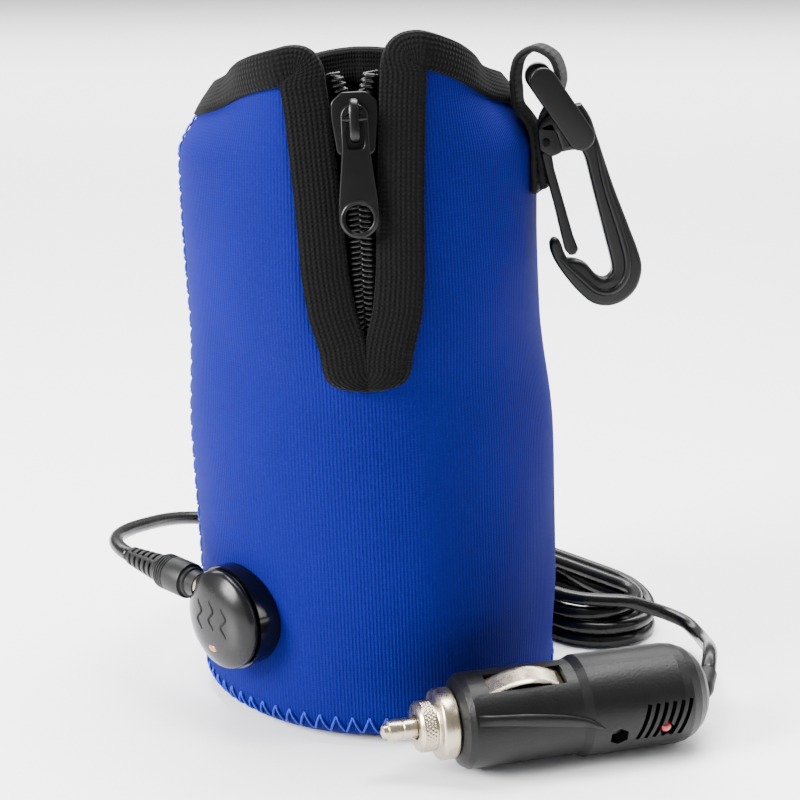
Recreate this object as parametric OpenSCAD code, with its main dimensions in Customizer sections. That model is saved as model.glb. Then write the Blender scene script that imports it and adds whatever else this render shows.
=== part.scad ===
// Travel bottle warmer: heated fabric sleeve with a zipped neck, controller, snap hook and 12 V lead.
// Origin at the centre of the base's underside, +Z up, the zip faces -Y.

/* [Sleeve] */
// Outside radius of the sleeve
sleeve_r = 42.5; // [41:0.5:44]
// Thickness of the padded wall
wall_t = 3; // [2.6:0.1:3.2]
// Lean of the sleeve towards -X, in degrees
lean = 2; // [0:0.5:3]
// Radius of the sleeve above the bottle's belly
upper_r = 41; // [40.5:0.1:41.5]
// Height where the shoulder starts
shoulder_z = 122; // [120:1:124]
// Radius of the neck at the rim
rim_r = 34.5; // [33:0.5:36]
// Radius of the arch that the rim makes, seen from the front
arch_r = 58; // [56:0.5:60]
// Height of that arch's centre, at the front of the neck
arch_z = 99.6; // [98:0.2:101]
// Slope of the rim's arch, lower at the back, in degrees
arch_tilt = 6.5; // [5:0.5:7]
// Height of the rim's binding
binding_h = 7; // [6:0.5:8]

/* [Zip] */
// Bottom end of the slit
zip_bottom = [-2.1, -41, 84.2];
// Length of the slit
zip_len = 66; // [62:1:68]
// Slope of the slit away from upright, backwards, in degrees
zip_back = 6; // [4:0.5:8]
// Slope of the slit to the left, in degrees
zip_side = 2.7; // [2:0.1:3]
// How far up the slit the closed slider stands
slider_s = 54.6; // [50:0.2:55.4]
// Length of the slider
slider_len = 13; // [11:0.5:14]
// Width of the slider's head
slider_w = 9.7; // [9.5:0.1:10.2]
// Length of the pull tab
pull_len = 25.6; // [20:0.2:28]

/* [Controller] */
// Radius of the controller's base
box_r = 11.9; // [11.7:0.1:13]
// Height of the controller's centre
box_z = 26.8; // [24:0.2:30]
// Angle of the controller round the sleeve, left of the zip, in degrees
box_angle = 46; // [44:1:50]

/* [Lead] */
// Diameter of the cord
cord_d = 3.5; // [3.2:0.1:3.6]
// Diameter of the DC plug's body
dc_plug_d = 8.4; // [8:0.1:8.6]

/* [Car plug] */
// Diameter of the barrel that enters the socket
barrel_d = 20.9; // [20.7:0.1:21]
// Diameter of the handle
handle_d = 22.6; // [22:0.1:22.6]
// Length from the tip to the rear of the shell
car_plug_len = 75.5; // [72:0.5:78]
// Turn of the plug about its own axis, in degrees
car_plug_roll = 18; // [10:1:25]

/* [Hook] */
// Thickness of the hook
hook_t = 4.6; // [4:0.1:4.8]
// Length of the hook
hook_len = 45.6; // [44:0.1:46]
// Width of the webbing
webbing_w = 9; // [8:0.5:9]

/* [Hidden] */

$fn = 64;
eps = 0.01;
gap = 0.15;                         // clearance between stacked layers
big = 200;

wall_in = sleeve_r - wall_t;        // inside radius of the wall
heater_t = 0.5;
lining_out = wall_in - heater_t - 2 * gap;
lining_t = 0.8;
base_t = 3;
base_top = 7;                       // height of the base's turned-up edge
base_edge = 5;                      // rounding of the base's edge
waist_low = 75;                     // the belly narrows to the upper radius between these heights
waist_high = 90;
shoulder_h = 25;                    // height over which the shoulder draws in
shoulder_steps = 5;
arch_steps = 18;
arch_front = -34;                   // y where the tilted arch has its given height
shell_top = 165;
neck_taper = 0.05;                  // how much the neck draws in above the shoulder, per mm
heater_low = 14;
heater_high = 74;
switch_w = 10;                      // width of the thermal switch
slit_half = 7;                      // half width of the slot left in the fabric for the zip
slot_room = 0.05;                   // the slot's cut runs a little into the lapels' spaces
slit_floor = 79;                    // height where that slot ends

// Lapel fold lines, in the leaning frame, as drawn for the right side
fold_low = [5.1, -49, 80];
fold_high = [32.4, -29.9, 152];
fold_gap = 0.3;                     // room between a lapel and the wall

function unit(v) = v / norm(v);
function frame_of(o, x, y, z) = [[x.x, y.x, z.x, o.x], [x.y, y.y, z.y, o.y], [x.z, y.z, z.z, o.z]];

module leaning() rotate([0, -lean, 0]) children();
module zip_frame(s = 0) translate(zip_bottom) rotate([-zip_back, -zip_side, 0]) translate([0, 0, s])
    children();
module above(z) translate([-big / 2, -big / 2, z]) cube([big, big, big]);

// Frame on a fold line: x towards the zip, y through the wall, z along the fold, for side +1 (right) or -1
module fold_frame(side) {
    low = [side * fold_low.x, fold_low.y, fold_low.z];
    high = [side * fold_high.x, fold_high.y, fold_high.z];
    along = unit(high - low);
    mid = (low + high) / 2;
    out = unit([mid.x, mid.y, 0]);
    across = unit(cross(out, along)) * side;
    multmatrix(frame_of(low, across, cross(along, across), along)) children();
}

// Space of a lapel: from the fold plane to the zip's slot
module lapel_space(side, room) {
    intersection() {
        leaning() fold_frame(side) translate([room, -60, -40]) cube([80, 120, 160]);
        zip_frame() translate([side > 0 ? slit_half : -60 - slit_half, -30, -20]) cube([60, 60, 130]);
        translate([-60, -60, slit_floor]) cube([120, 60, 120]);
    }
}

// Everything that the wall gives up to the lapels and the zip
module neck_cut() {
    for (side = [-1, 1]) lapel_space(side, 0);
    intersection() {
        zip_frame() translate([-slit_half - slot_room, -30, -6])
            cube([2 * (slit_half + slot_room), 60, 130]);
        translate([-60, -60, slit_floor]) cube([120, 60, 120]);
    }
}

// Space under the rim's arch, which runs from front to back, lowered by a drop
module under_arch(drop) translate([0, arch_front, arch_z - drop]) rotate([90 - arch_tilt, 0, 0])
    linear_extrude(height = big, center = true) polygon(concat([[-arch_r, -big], [arch_r, -big]],
        [for (i = [0:arch_steps]) arch_r * [cos(180 * i / arch_steps), sin(180 * i / arch_steps)]]));

// Radius of the sleeve's outside at a height, with a slight waist and a soft shoulder
function share(z, low, height) = min(max((z - low) / height, 0), 1);
function outside(z) = z < shoulder_z
    ? sleeve_r - (sleeve_r - upper_r) * share(z, waist_low, waist_high - waist_low)
    : rim_r + (upper_r - rim_r) * 0.5 * (1 + cos(180 * share(z, shoulder_z, shoulder_h)))
    - neck_taper * max(z - shoulder_z - shoulder_h, 0);

// Shell of revolution between two offsets from the sleeve's outside
module shell(outer, inner, low) {
    heights = concat([low, waist_low, waist_high],
        [for (i = [0:shoulder_steps]) shoulder_z + shoulder_h * i / shoulder_steps], [shell_top]);
    rotate_extrude($fn = 96) polygon(concat(
        [for (z = heights) [outside(z) - outer, z]],
        [for (i = [len(heights) - 1:-1:0]) [outside(heights[i]) - inner, heights[i]]]));
}

module wall_shell(outer, inner, low, drop) {
    intersection() {
        leaning() intersection() {
            shell(outer, inner, low - 6);
            under_arch(drop);
        }
        above(low);
    }
}

/* Sleeve */

module sleeve_wall() color("royalblue") difference() {
    wall_shell(0, wall_t, base_top, binding_h + gap);
    neck_cut();
    box_frame() translate([0, 0, -12]) {
        for (h = screw_places) translate([h.x, h.y, 0]) cylinder(r = screw_hole_r, h = 14, $fn = 24);
        translate([0, lead_y, 0]) cylinder(r = lead_hole_r, h = 14, $fn = 24);
        cylinder(r = plate_r + 3 * gap, h = 12 - plate_pocket, $fn = 64);
    }
    leaning() translate([-switch_w / 2 - 0.2, wall_in - 1, 39.8]) cube([switch_w + 0.4, 2.6, 8.4]);
}

module sleeve_base() color("royalblue") rotate_extrude($fn = 96) polygon(concat(
    [[0, 0], [sleeve_r - base_edge, 0]],
    [for (a = [-75:15:0]) [sleeve_r - base_edge + base_edge * cos(a), base_edge + base_edge * sin(a)]],
    [[sleeve_r, base_top], [wall_in, base_top], [wall_in, base_t + 1], [wall_in - 1, base_t],
    [0, base_t]]));

module inner_lining() color("dimgray") difference() {
    wall_shell(sleeve_r - lining_out, sleeve_r - lining_out + lining_t, base_top, binding_h + gap);
    neck_cut();
}

module base_pad() color("dimgray") translate([0, 0, base_t]) cylinder(r = lining_out - 1.5, h = 2);

module heating_element() color("darkorange") difference() {
    leaning() difference() {
        translate([0, 0, heater_low]) cylinder(r = wall_in - gap, h = heater_high - heater_low);
        translate([0, 0, heater_low - 1])
            cylinder(r = wall_in - gap - heater_t, h = heater_high - heater_low + 2);
        translate([-switch_w / 2 - 0.2, 0, heater_low - 1]) cube([switch_w + 0.4, 60, heater_high]);
    }
}

module thermal_switch() color("whitesmoke") leaning()
    translate([-switch_w / 2, lining_out + 0.1, 40]) cube([switch_w, 2, 8]);

module rim_section() difference() {
    wall_shell(-0.5, sleeve_r - lining_out + lining_t + 0.3, shoulder_z - 10, 0);
    leaning() under_arch(binding_h);
}

module rim_binding() color("black") difference() {
    rim_section();
    neck_cut();
}

// Round rod between two points of a half plane, given as [radius, height]
module rod(p, q, r) translate([p.x, 0, p.y]) rotate([0, atan2(q.x - p.x, q.y - p.y), 0])
    cylinder(r = r, h = norm(q - p), $fn = 16);
seam_heights = [14.5, waist_low, waist_high, 120];
function seam_point(z) = [outside(z) + 0.4, z];
module side_seam_thread() color("dodgerblue") leaning() rotate([0, 0, -175])
    for (i = [0:len(seam_heights) - 2])
        rod(seam_point(seam_heights[i]), seam_point(seam_heights[i + 1]), 0.3);

module base_seam_thread() color("dodgerblue") for (z = [base_top + 1.5, base_top + 5.5])
    translate([0, 0, z]) leaning_ring(z);

module leaning_ring(z) translate([-z * tan(lean), 0, 0]) rotate_extrude($fn = 96)
    translate([sleeve_r + 0.42, 0]) circle(r = 0.3, $fn = 16);

/* Lapels */

module lapel(side) color("royalblue") intersection() {
    wall_shell(0, wall_t, slit_floor, binding_h + gap);
    lapel_space(side, fold_gap);
}

module lapel_lining(side) color("dimgray") intersection() {
    wall_shell(sleeve_r - lining_out, sleeve_r - lining_out + lining_t, slit_floor, binding_h + gap);
    lapel_space(side, fold_gap);
}

module rim_binding_side(side) color("black") intersection() {
    rim_section();
    lapel_space(side, fold_gap);
}

// Inner edge of a slit binding, as [distance up the slit, half width of the gap]
lips = [[5.3, 0.3], [8, 0.8], [16, 3], [23.6, 4], [40, 4.9], [59, 6.2], [66, 6.8]];
band_w = 8;
band_top = 3;                       // how far the band stands out of the zip's plane
module slit_binding(side) color("black") zip_frame() scale([side, 1, 1]) rotate([90, 0, 0])
    translate([0, 0, 1.5]) linear_extrude(height = band_top - 1.5)
        polygon(concat([for (p = lips) [p[1], p[0]]],
            [for (i = [len(lips) - 1:-1:0]) [lips[i][1] + band_w, lips[i][0]]]));

module lapel_left() lapel(-1);
module lapel_right() lapel(1);
module lapel_lining_left() lapel_lining(-1);
module lapel_lining_right() lapel_lining(1);
module rim_binding_left() rim_binding_side(-1);
module rim_binding_right() rim_binding_side(1);
module slit_binding_left() slit_binding(-1);
module slit_binding_right() slit_binding(1);

/* Zip: in its own frame x is across, -y outwards and z up the slit */

coil_w = 2.8;
coil_y = 1;                         // half thickness of the coil
slider_low = slider_s - slider_len / 2;
slider_high = slider_s + slider_len / 2;
part_x = 1.2;                       // half width between the coils where they leave the slider
coil_path = [[5.3, 0.08], [slider_low, 0.08], [slider_high - 1, part_x], [zip_len - 1, 2.8]];

module zip_strip(side, points, width, thick) zip_frame() scale([side, 1, 1]) rotate([90, 0, 0])
    linear_extrude(height = thick, center = true)
        polygon(concat([for (p = points) [p[1], p[0]]],
            [for (i = [len(points) - 1:-1:0]) [points[i][1] + width, points[i][0]]]));

module zip_coil(side) color("black") zip_strip(side, coil_path, coil_w, 2 * coil_y);
module zip_tape(side) color("black") translate([0, 1.3, 0])
    zip_strip(side, [for (p = coil_path) [p[0], p[1] + 0.4]], 6, 0.4);
module zip_coil_left() zip_coil(-1);
module zip_coil_right() zip_coil(1);
module zip_tape_left() zip_tape(-1);
module zip_tape_right() zip_tape(1);

module zip_stop() color("dimgray") zip_frame() translate([-3, -1.3, 2.5]) cube([6, 2.6, 2.4]);

// Closed bottom end of the slit's binding
module binding_point() color("black") zip_frame() rotate([90, 0, 0])
    linear_extrude(height = 5, center = true) polygon([[-6, 2.3], [-6, -1], [-4.4, -3.8], [0, -5],
        [4.4, -3.8], [6, -1], [6, 2.3]]);

plate_low = 1.8;                    // height of the plates' inner faces from the coil's middle
plate_t = 1;
pivot_y = -4.1;                     // the pull tab's cross bar, out from the coil's middle
pivot_z = 1;
module slider_outline() polygon([[-3.9, -slider_len / 2], [3.9, -slider_len / 2], [slider_w / 2, 1],
    [slider_w / 2, 4.5], [2.6, slider_len / 2], [-2.6, slider_len / 2], [-slider_w / 2, 4.5],
    [-slider_w / 2, 1]]);
module slider_plate(y) translate([0, y, 0]) rotate([90, 0, 0])
    linear_extrude(height = plate_t, center = true) slider_outline();
module slider_body() color("black") zip_frame(slider_s) {
    slider_plate(-plate_low + 0.2 - plate_t / 2);
    slider_plate(plate_low + 0.4 + plate_t / 2);
    translate([-0.85, -2, 3]) cube([1.7, 4.4, 3]);
    for (x = [-slider_w / 2 + 0.05, slider_w / 2 - 0.55]) translate([x, -2, 1]) cube([0.5, 2.6, 3.4]);
    for (z = [-3.6, 3.9]) translate([-0.9, -5.9, z]) cube([1.8, 4, 1]);
    translate([-0.9, -5.9, -3.6]) cube([1.8, 0.9, 8.5]);
}

bar_r = 0.75;
tab_t = 1.5;
pull_end = 5.1 - pull_len;          // middle of the tab's round end
pull_hole_r = 2.9;
module pull_tab() color("black") zip_frame(slider_s) translate([0, pivot_y, pivot_z]) {
    rotate([0, 90, 0]) cylinder(r = bar_r, h = 5.8, center = true, $fn = 32);
    rotate([90, 0, 0]) linear_extrude(height = tab_t, center = true) difference() {
        union() {
            polygon([[-2.9, 0], [2.9, 0], [4.1, pull_end], [-4.1, pull_end]]);
            translate([0, pull_end]) circle(r = 4.1, $fn = 48);
        }
        translate([-1.9, -7]) square([3.8, 8]);
        translate([0, pull_end]) circle(r = pull_hole_r, $fn = 40);
    }
}

/* Hook: the webbing loop and the link swing about Y */

strap_t = 1.4;
strap_turn = 16.5;                  // how far round the sleeve from +X, towards the zip
// Middle line of the webbing, as [radius, height] in the leaning frame
strap = [[41.9, 119.5], [41.6, 125], [40.4, 130], [39.2, 134.5], [37.8, 138.5], [36.9, 142.4],
    [36.9, 146.2], [38.4, 149.6], [41.6, 151], [44.8, 149.6], [46.6, 146.6], [46.8, 143], [46.5, 141.6]];
bar_top = [35.5, 145.6];            // the link's bar inside the webbing, as [x, z]
link_y = -12;                       // middle of the link
link_bar_r = 1.5;
module webbing_loop() color("black") leaning() rotate([0, 0, -strap_turn]) rotate([90, 0, 0])
    linear_extrude(height = webbing_w, center = true)
        for (i = [0:len(strap) - 2]) hull() for (p = [strap[i], strap[i + 1]]) translate(p)
            circle(d = strap_t, $fn = 16);

head = [41.5, -15.4, 135.3];        // centre of the hook's head
hook_lean = 15.7;                   // lean of the hook's length outwards, in degrees
hook_size = hook_len / 47.4;        // the outline is drawn 47.4 long
// In the hook's plane: first number across, outwards, second down its length
module hook_plane(t) translate(head) rotate([0, -hook_lean, 0]) rotate([90, 0, 0])
    linear_extrude(height = t, center = true) scale([hook_size, -hook_size, 1]) children();
function plane_point(v, u) = [head.x + hook_size * (v * cos(hook_lean) + u * sin(hook_lean)),
    head.z + hook_size * (v * sin(hook_lean) - u * cos(hook_lean))];
bar_low = plane_point(2, 2.3);      // the link's bar through the hook's head
arm_t = 2.2;
arm_in = webbing_w / 2 + 1.5;
module link_bar(p) translate([p.x, link_y, p.y]) rotate([90, 0, 0])
    cylinder(r = link_bar_r, h = 2 * (arm_in + arm_t / 2), center = true, $fn = 32);
module hook_link() color("black") {
    for (y = [-arm_in - arm_t, arm_in]) translate([0, link_y + y + arm_t, 0]) rotate([90, 0, 0])
        linear_extrude(height = arm_t)
            hull() for (p = [bar_top, bar_low]) translate(p) circle(r = 3, $fn = 32);
    link_bar(bar_top);
    link_bar(bar_low);
}

gate_pivot = [-5.8, 1.6];
module hook_outline() {
    polygon([[-6, -3.2], [4.2, -4.6], [5.6, 2.8], [6.6, 14.7], [8.6, 32], [8.4, 36], [6.4, 39.6], [3, 42],
        [-1, 42.8], [-4.6, 41], [-7.4, 36.8], [-9.8, 31.4], [-10.9, 27], [-10.4, 24.2], [-9.1, 24],
        [-8.5, 26.6], [-7.4, 29.4], [-5.6, 30], [-3.7, 31.6], [-2.2, 34.9], [-0.6, 36.1],
        [1.2, 35.8], [1.95, 34.2], [1.95, 6.4], [0, 5.2], [-3, 4.8], [-3.2, 0.4], [-7.4, -0.9]]);
}
module hook_body() color("black") difference() {
    union() {
        hook_plane(hook_t) hook_outline();
        for (y = [-1, 1]) translate([0, y * (hook_t / 2 - 0.6), 0]) hook_plane(1.2)
            polygon([[-6.9, -2], [-3, -2], [-2.4, 4.8], [-5.6, 4.8], [-7.6, 2.6]]);
    }
    translate([bar_low.x, head.y, bar_low.y]) rotate([90, 0, 0])
        cylinder(r = link_bar_r + 0.06, h = 3 * hook_t, center = true, $fn = 32);
    hook_plane(3 * hook_t) translate(gate_pivot) circle(r = 1.0, $fn = 32);
}
module hook_gate() color("black") difference() {
    union() {
        hook_plane(2) translate(gate_pivot) circle(r = 1.65, $fn = 32);
        hook_plane(2) polygon([[-7.4, 1.6], [-4.6, 1.6], [-5.4, 7], [-7.5, 7]]);
        hook_plane(4.2) polygon([[-7.7, 5.6], [-5.4, 5.6], [-5.0, 27.4], [-6.2, 28.6], [-7.7, 28]]);
    }
    hook_plane(3 * hook_t) translate(gate_pivot) circle(r = 1.06, $fn = 32);
}
module gate_pin() color("silver") hook_plane(hook_t) translate(gate_pivot) circle(r = 1.0, $fn = 32);

/* Controller: x along the wall to the right, y up, z out of the wall */

box_centre = [-box_z * tan(lean) - sleeve_r * sin(box_angle), -sleeve_r * cos(box_angle), box_z];
split_h = 4;                        // height of the joint between base and cover
cover_top = 9;
box_wall = 1.4;
plate_r = 9.8;
plate_pocket = 2.15;                // depth below the wall's face of the pocket for the backing plate
screw_hole_r = 1.15;
lead_y = -2;
lead_hole_r = 2.2;                  // hole for the heater's leads
led_y = -6.2;
screw_places = [[6.2, -3.6], [-6.2, -3.6], [4.5, 6.2]];
jack_y = 5.4;
jack_z = 4.65;
jack_mouth = -7;                    // where the jack begins and ends along x
jack_back = 2;
jack_r = 3.2;
module box_frame() multmatrix(frame_of(box_centre, [cos(box_angle), -sin(box_angle), 0], [0, 0, 1],
    [-sin(box_angle), -cos(box_angle), 0])) children();
module wall_solid(r) leaning() translate([0, 0, -20]) cylinder(r = r, h = 150, $fn = 96);
module jack_bar(r, low, high) translate([low, jack_y, jack_z]) rotate([0, 90, 0])
    cylinder(r = r, h = high - low, $fn = 48);
module jack_hole() {
    jack_bar(dc_plug_d / 2 + 0.25, -30, -8);
    jack_bar(jack_r + 0.1, -9, jack_back + gap);
}
module box_shape(r, low, top) rotate_extrude($fn = 96) polygon([[0, low], [r, low], [r, top - 3.4],
    [r - 0.5, top - 2.1], [r - 1.8, top - 1.1], [r - 5, top - 0.3], [0, top]]);

module controller_base() color("#181818") difference() {
    box_frame() translate([0, 0, -3]) cylinder(r = box_r, h = 3 + split_h, $fn = 96);
    wall_solid(sleeve_r + 0.05);
    box_frame() {
        translate([0, 0, 1.2]) cylinder(r = box_r - box_wall, h = 10);
        for (h = screw_places) translate([h.x, h.y, -5]) cylinder(r = screw_hole_r, h = 9, $fn = 24);
        translate([0, lead_y, -5]) cylinder(r = lead_hole_r, h = 9, $fn = 24);
        jack_hole();
    }
}
module controller_cover() color("#2c2c2e") difference() {
    box_frame() box_shape(box_r - 0.4, split_h + eps, cover_top);
    box_frame() {
        box_shape(box_r - box_wall - 0.4, 0, cover_top - 1.3);
        jack_hole();
        translate([0, led_y, 5]) led_slot(0.06);
    }
}
module led_slot(room) {
    for (x = [-1, 1]) translate([x, 0, 0]) cylinder(r = 1 + room, h = 6, $fn = 32);
    translate([-1, -1 - room, 0]) cube([2, 2 + 2 * room, 6]);
}
module indicator_led() color("orange") box_frame() intersection() {
    translate([0, led_y, 3.8]) led_slot(0);
    translate([0, 0, 3.6]) cylinder(r = 9, h = cover_top - 4.1);
}
module circuit_board() color("darkgreen") box_frame() {
    difference() {
        translate([0, 0, 1.35]) cylinder(r = 9.8, h = 0.8);
        for (h = screw_places) translate([h.x, h.y, 0]) cylinder(r = 1.9, h = 9, $fn = 24);
        translate([0, lead_y, 0]) cylinder(r = lead_hole_r, h = 9, $fn = 24);
        translate([-12, 1.9, 0]) cube([14.5, 7.2, 9]);
    }
    translate([2.5, -4.5, 2.15]) cube([2.6, 3, 1.2]);
    translate([3, 1.5, 2.15]) cube([3.4, 2, 1.6]);
}
module dc_jack() color("#101010") box_frame() difference() {
    jack_bar(jack_r, jack_mouth, jack_back);
    jack_bar(2.8, jack_mouth - 1, jack_back - 0.6);
}
module jack_pin() color("silver") box_frame() jack_bar(0.95, jack_mouth + 0.6, jack_back - 0.6);
module backing_plate() color("gainsboro") intersection() {
    box_frame() difference() {
        translate([0, 0, -12]) cylinder(r = plate_r, h = 14);
        for (h = screw_places) translate([h.x, h.y, -13]) cylinder(r = screw_hole_r, h = 16, $fn = 24);
        translate([0, lead_y, -13]) cylinder(r = lead_hole_r, h = 16, $fn = 24);
    }
    leaning() difference() {
        cylinder(r = wall_in + 0.6, h = 60, $fn = 96);
        translate([0, 0, -1]) cylinder(r = wall_in + 0.02, h = 62, $fn = 96);
    }
}
module housing_screws() color("silver") box_frame() for (h = screw_places) translate([h.x, h.y, -1.5])
    cylinder(r = 1.05, h = 3.6, $fn = 24);
module heater_leads() color("firebrick") box_frame() for (x = [-0.9, 0.9]) translate([x, lead_y, -2.6])
    cylinder(r = 0.55, h = 4.2, $fn = 16);

/* DC plug, in the controller's frame, along -x */

plug_face = -box_r + 1.1;
module plug_frame() box_frame() translate([plug_face, jack_y, jack_z]) rotate([0, -90, 0]) children();
module dc_plug_body() color("#141414") plug_frame() rotate_extrude($fn = 64) polygon([[1.2, 0.6],
    [dc_plug_d / 2 - 0.4, 0.6], [dc_plug_d / 2, 1], [dc_plug_d / 2, 11], [3.4, 12], [1.2, 12]]);
module dc_plug_barrel() color("silver") plug_frame() translate([0, 0, -8.4]) difference() {
    cylinder(r = 2.72, h = 9);
    translate([0, 0, -1]) cylinder(r = 1.05, h = 11);
}
boot_end = 25;
module dc_plug_boot() color("#141414") plug_frame() rotate_extrude($fn = 48)
    polygon([[0, 12.05], [3.3, 12.05], [3.1, 14], [2.1, boot_end], [0, boot_end]]);

/* Cord */

// Route from the DC plug, behind the sleeve, to the hank
route_plug = [[-59.9, -6.9, 32.2], [-62.5, -3.6, 32.3], [-64.8, 1.5, 32.3], [-65.2, 7.5, 31.9],
    [-63.6, 14, 31.2], [-60.8, 21, 30], [-57, 29.5, 28.2], [-52.8, 36.5, 26.3], [-47.6, 42.5, 24],
    [-41.5, 47.6, 20.6], [-34.6, 51.8, 16.4], [-27.4, 55.4, 12], [-20, 58, 7.8], [-12.5, 59.8, 4.4],
    [-5, 60, 2.3], [2.5, 58.4, 1.8], [9.6, 54.4, 1.8], [15, 49.6, 1.8]];
// Route from the hank over its top and down to the car plug
route_car = [[33.5, 30, 12.4], [39.2, 23.8, 12.4], [45, 17.8, 12.4], [50.5, 14.4, 12.4], [56.5, 13.2, 12.4],
    [62.5, 13, 12.1], [68, 13.2, 10.4], [73, 12.6, 8.8], [77, 9.8, 7.8], [79, 4.6, 7.2], [79.5, -1.2, 7.8],
    [79.2, -7, 9.3], [78.6, -12.6, 11.2], [77.9, -18, 12.9], [77.1, -23.2, 13.9], [76.2, -27.6, 13.7],
    [75.3, -31.2, 12.6]];
hank_right = [56, 26];
hank_left = [29.3, 55.8];
hank_r = 15.75;
hank_h = 3 * cord_d;

function tangent(p, i) = unit(p[min(i + 1, len(p) - 1)] - p[max(i - 1, 0)]);
function ring(p, i, r, sides) =
    let(t = tangent(p, i), side = unit(cross(t, [0, 0, 1])), up = cross(side, t))
    [for (k = [0:sides - 1]) p[i] + r * (side * cos(360 * k / sides) + up * sin(360 * k / sides))];
module tube(p, r, sides) {
    n = len(p);
    polyhedron(
        points = [for (i = [0:n - 1]) each ring(p, i, r, sides)],
        faces = concat([[for (k = [0:sides - 1]) k]],
            [for (i = [0:n - 2]) for (k = [0:sides - 1]) let(m = (k + 1) % sides)
                [i * sides + k, (i + 1) * sides + k, (i + 1) * sides + m, i * sides + m]],
            [[for (k = [sides - 1:-1:0]) (n - 1) * sides + k]]));
}
module cord_run_plug() color("#111111") tube(route_plug, cord_d / 2, 8);
module cord_run_car() color("#111111") tube(route_car, cord_d / 2, 8);
module cord_coil() color("#111111") linear_extrude(height = hank_h)
    hull() for (p = [hank_left, hank_right]) translate(p) circle(r = hank_r, $fn = 64);
tie_turn = -48;
tie_place = 0.15;                   // share of the way from the hank's left end to its right
module cord_tie() color("#222222") translate(hank_left + tie_place * (hank_right - hank_left))
    rotate([0, 0, tie_turn]) difference() {
        translate([-1.5, -hank_r - 1.2, 0]) cube([3, 2 * hank_r + 2.4, hank_h + 1]);
        translate([-2, -hank_r - 0.1, -1]) cube([4, 2 * hank_r + 0.2, hank_h + 1.05]);
    }

/* Car plug: z from the tip to the rear, contacts at -x (upper) and +x (lower), screw at -y */

handle_axis_z = handle_d / 2;
car_tip = [0.6, -58.3, handle_axis_z];
car_yaw = 16.9;
module car_axis() translate(car_tip) rotate([0, 0, car_yaw]) rotate([0, 90, 0]) children();
module car_frame() car_axis() rotate([0, 0, car_plug_roll]) children();
barrel_r = barrel_d / 2;
handle_r = handle_d / 2;
nose_end = 16;                      // where the shell's barrel begins
leaf_low = 22.5;
leaf_high = 40.5;
shell_t = 1.9;
rear_round = 9;                     // rounding of the handle's rear
leaf_w = 5.2;
screw_z = 51;                       // height of the screw above the plug's tip
vent_z = 57.5;                      // height of the lowest vent
vents = 6;
vent_pitch = 2;
led_place = [-0.4, 0, 62.2];

module shell_solid(off) rotate([0, 0, 35]) rotate_extrude($fn = 96) polygon(concat(
    [[0, nose_end + off], [7.4 - off, nose_end + off], [barrel_r - off - 0.8, nose_end + 1.2 + off],
     [barrel_r - off, nose_end + 2.4 + off], [barrel_r - off, 43], [handle_r - off, 45]],
    [for (a = [0:15:75]) [handle_r - off - rear_round * (1 - cos(a)),
        car_plug_len - off - rear_round * (1 - sin(a))]],
    [[handle_r - off - rear_round, car_plug_len - off], [0, car_plug_len - off]]));
module half_shell(front) color("#202124") car_frame() difference() {
    union() {
        difference() {
            intersection() {
                shell_solid(0);
                translate([-30, front ? -30 - eps : eps, 0]) cube([60, 30, 90]);
            }
            shell_solid(shell_t);
        }
        translate([0, front ? -1.2 : 9.4, screw_z]) rotate([90, 0, 0])
            cylinder(r = 3.4, h = 8.2, $fn = 32);
    }
    translate([0, 8, screw_z]) rotate([90, 0, 0]) cylinder(r = 1.75, h = 20, $fn = 32);
    translate([0, 0, 10]) cylinder(r = 5.2, h = 12);
    for (side = [-1, 1]) translate([side > 0 ? 4 : -16, -leaf_w / 2 - 0.3, leaf_low])
        cube([12, leaf_w + 0.6, leaf_high - leaf_low]);
    translate([0, 0, car_plug_len - 6]) cylinder(r = 2.7, h = 10);
    if (front) {
        translate([0, -7, screw_z]) rotate([90, 0, 0]) cylinder(r = 2.3, h = 30, $fn = 6);
        for (i = [0:vents - 1]) translate([-6.6, -20, vent_z + vent_pitch * i]) rotate([0, 18, 0])
            cube([8.4, 18, 1]);
        translate(led_place) rotate([90, 0, 0]) cylinder(r = 1.6, h = 30, $fn = 32);
    }
}
module car_plug_shell_front() half_shell(true);
module car_plug_shell_back() half_shell(false);

module nose_ring() color("silver") car_frame() rotate_extrude($fn = 96)
    polygon([[2.75, 7.6], [5, 7.6], [5.5, 8.2], [5.5, 11.3], [6.6, 12], [7.75, 12.8], [7.75, 15.7],
        [4.9, 15.7], [4.9, 21.5], [4, 21.5], [4, 11.5], [2.75, 11.5]]);
module tip_contact() color("silver") car_frame() rotate_extrude($fn = 48)
    polygon([[0, 0], [1.2, 0.2], [1.6, 1], [2.1, 1.4], [2.35, 2.2], [2.35, 11.9], [3.6, 11.9], [3.6, 13.4],
        [0, 13.4]]);
fuse_len = 20;
fuse_z = 13.45;
module fuse() color("white") car_frame() translate([0, 0, fuse_z]) cylinder(r = 2.6, h = fuse_len);
spring_low = fuse_z + fuse_len + 0.05;
spring_high = 42;
spring_turns = 4;
spring_pitch = (spring_high - spring_low - 0.8) / (spring_turns - 1);
module fuse_spring() color("silver") car_frame() for (i = [0:spring_turns - 1])
    translate([0, 0, spring_low + 0.4 + i * spring_pitch]) rotate_extrude($fn = 48)
        translate([2.1, 0]) circle(r = 0.35, $fn = 16);
module leaf(side) color("silver") car_frame() scale([side, 1, 1]) rotate([90, 0, 0])
    linear_extrude(height = leaf_w, center = true) {
        arc_l = leaf_high - leaf_low - 1;
        polygon(concat(
            [for (i = [0:8]) [8.9 + 2.6 * sin(180 * i / 8), leaf_low + 0.5 + arc_l * i / 8]],
            [for (i = [8:-1:0]) [8.2 + 2.6 * sin(180 * i / 8), leaf_low + 0.5 + arc_l * i / 8]]));
    }
module side_contact_upper() leaf(-1);
module side_contact_lower() leaf(1);
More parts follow.
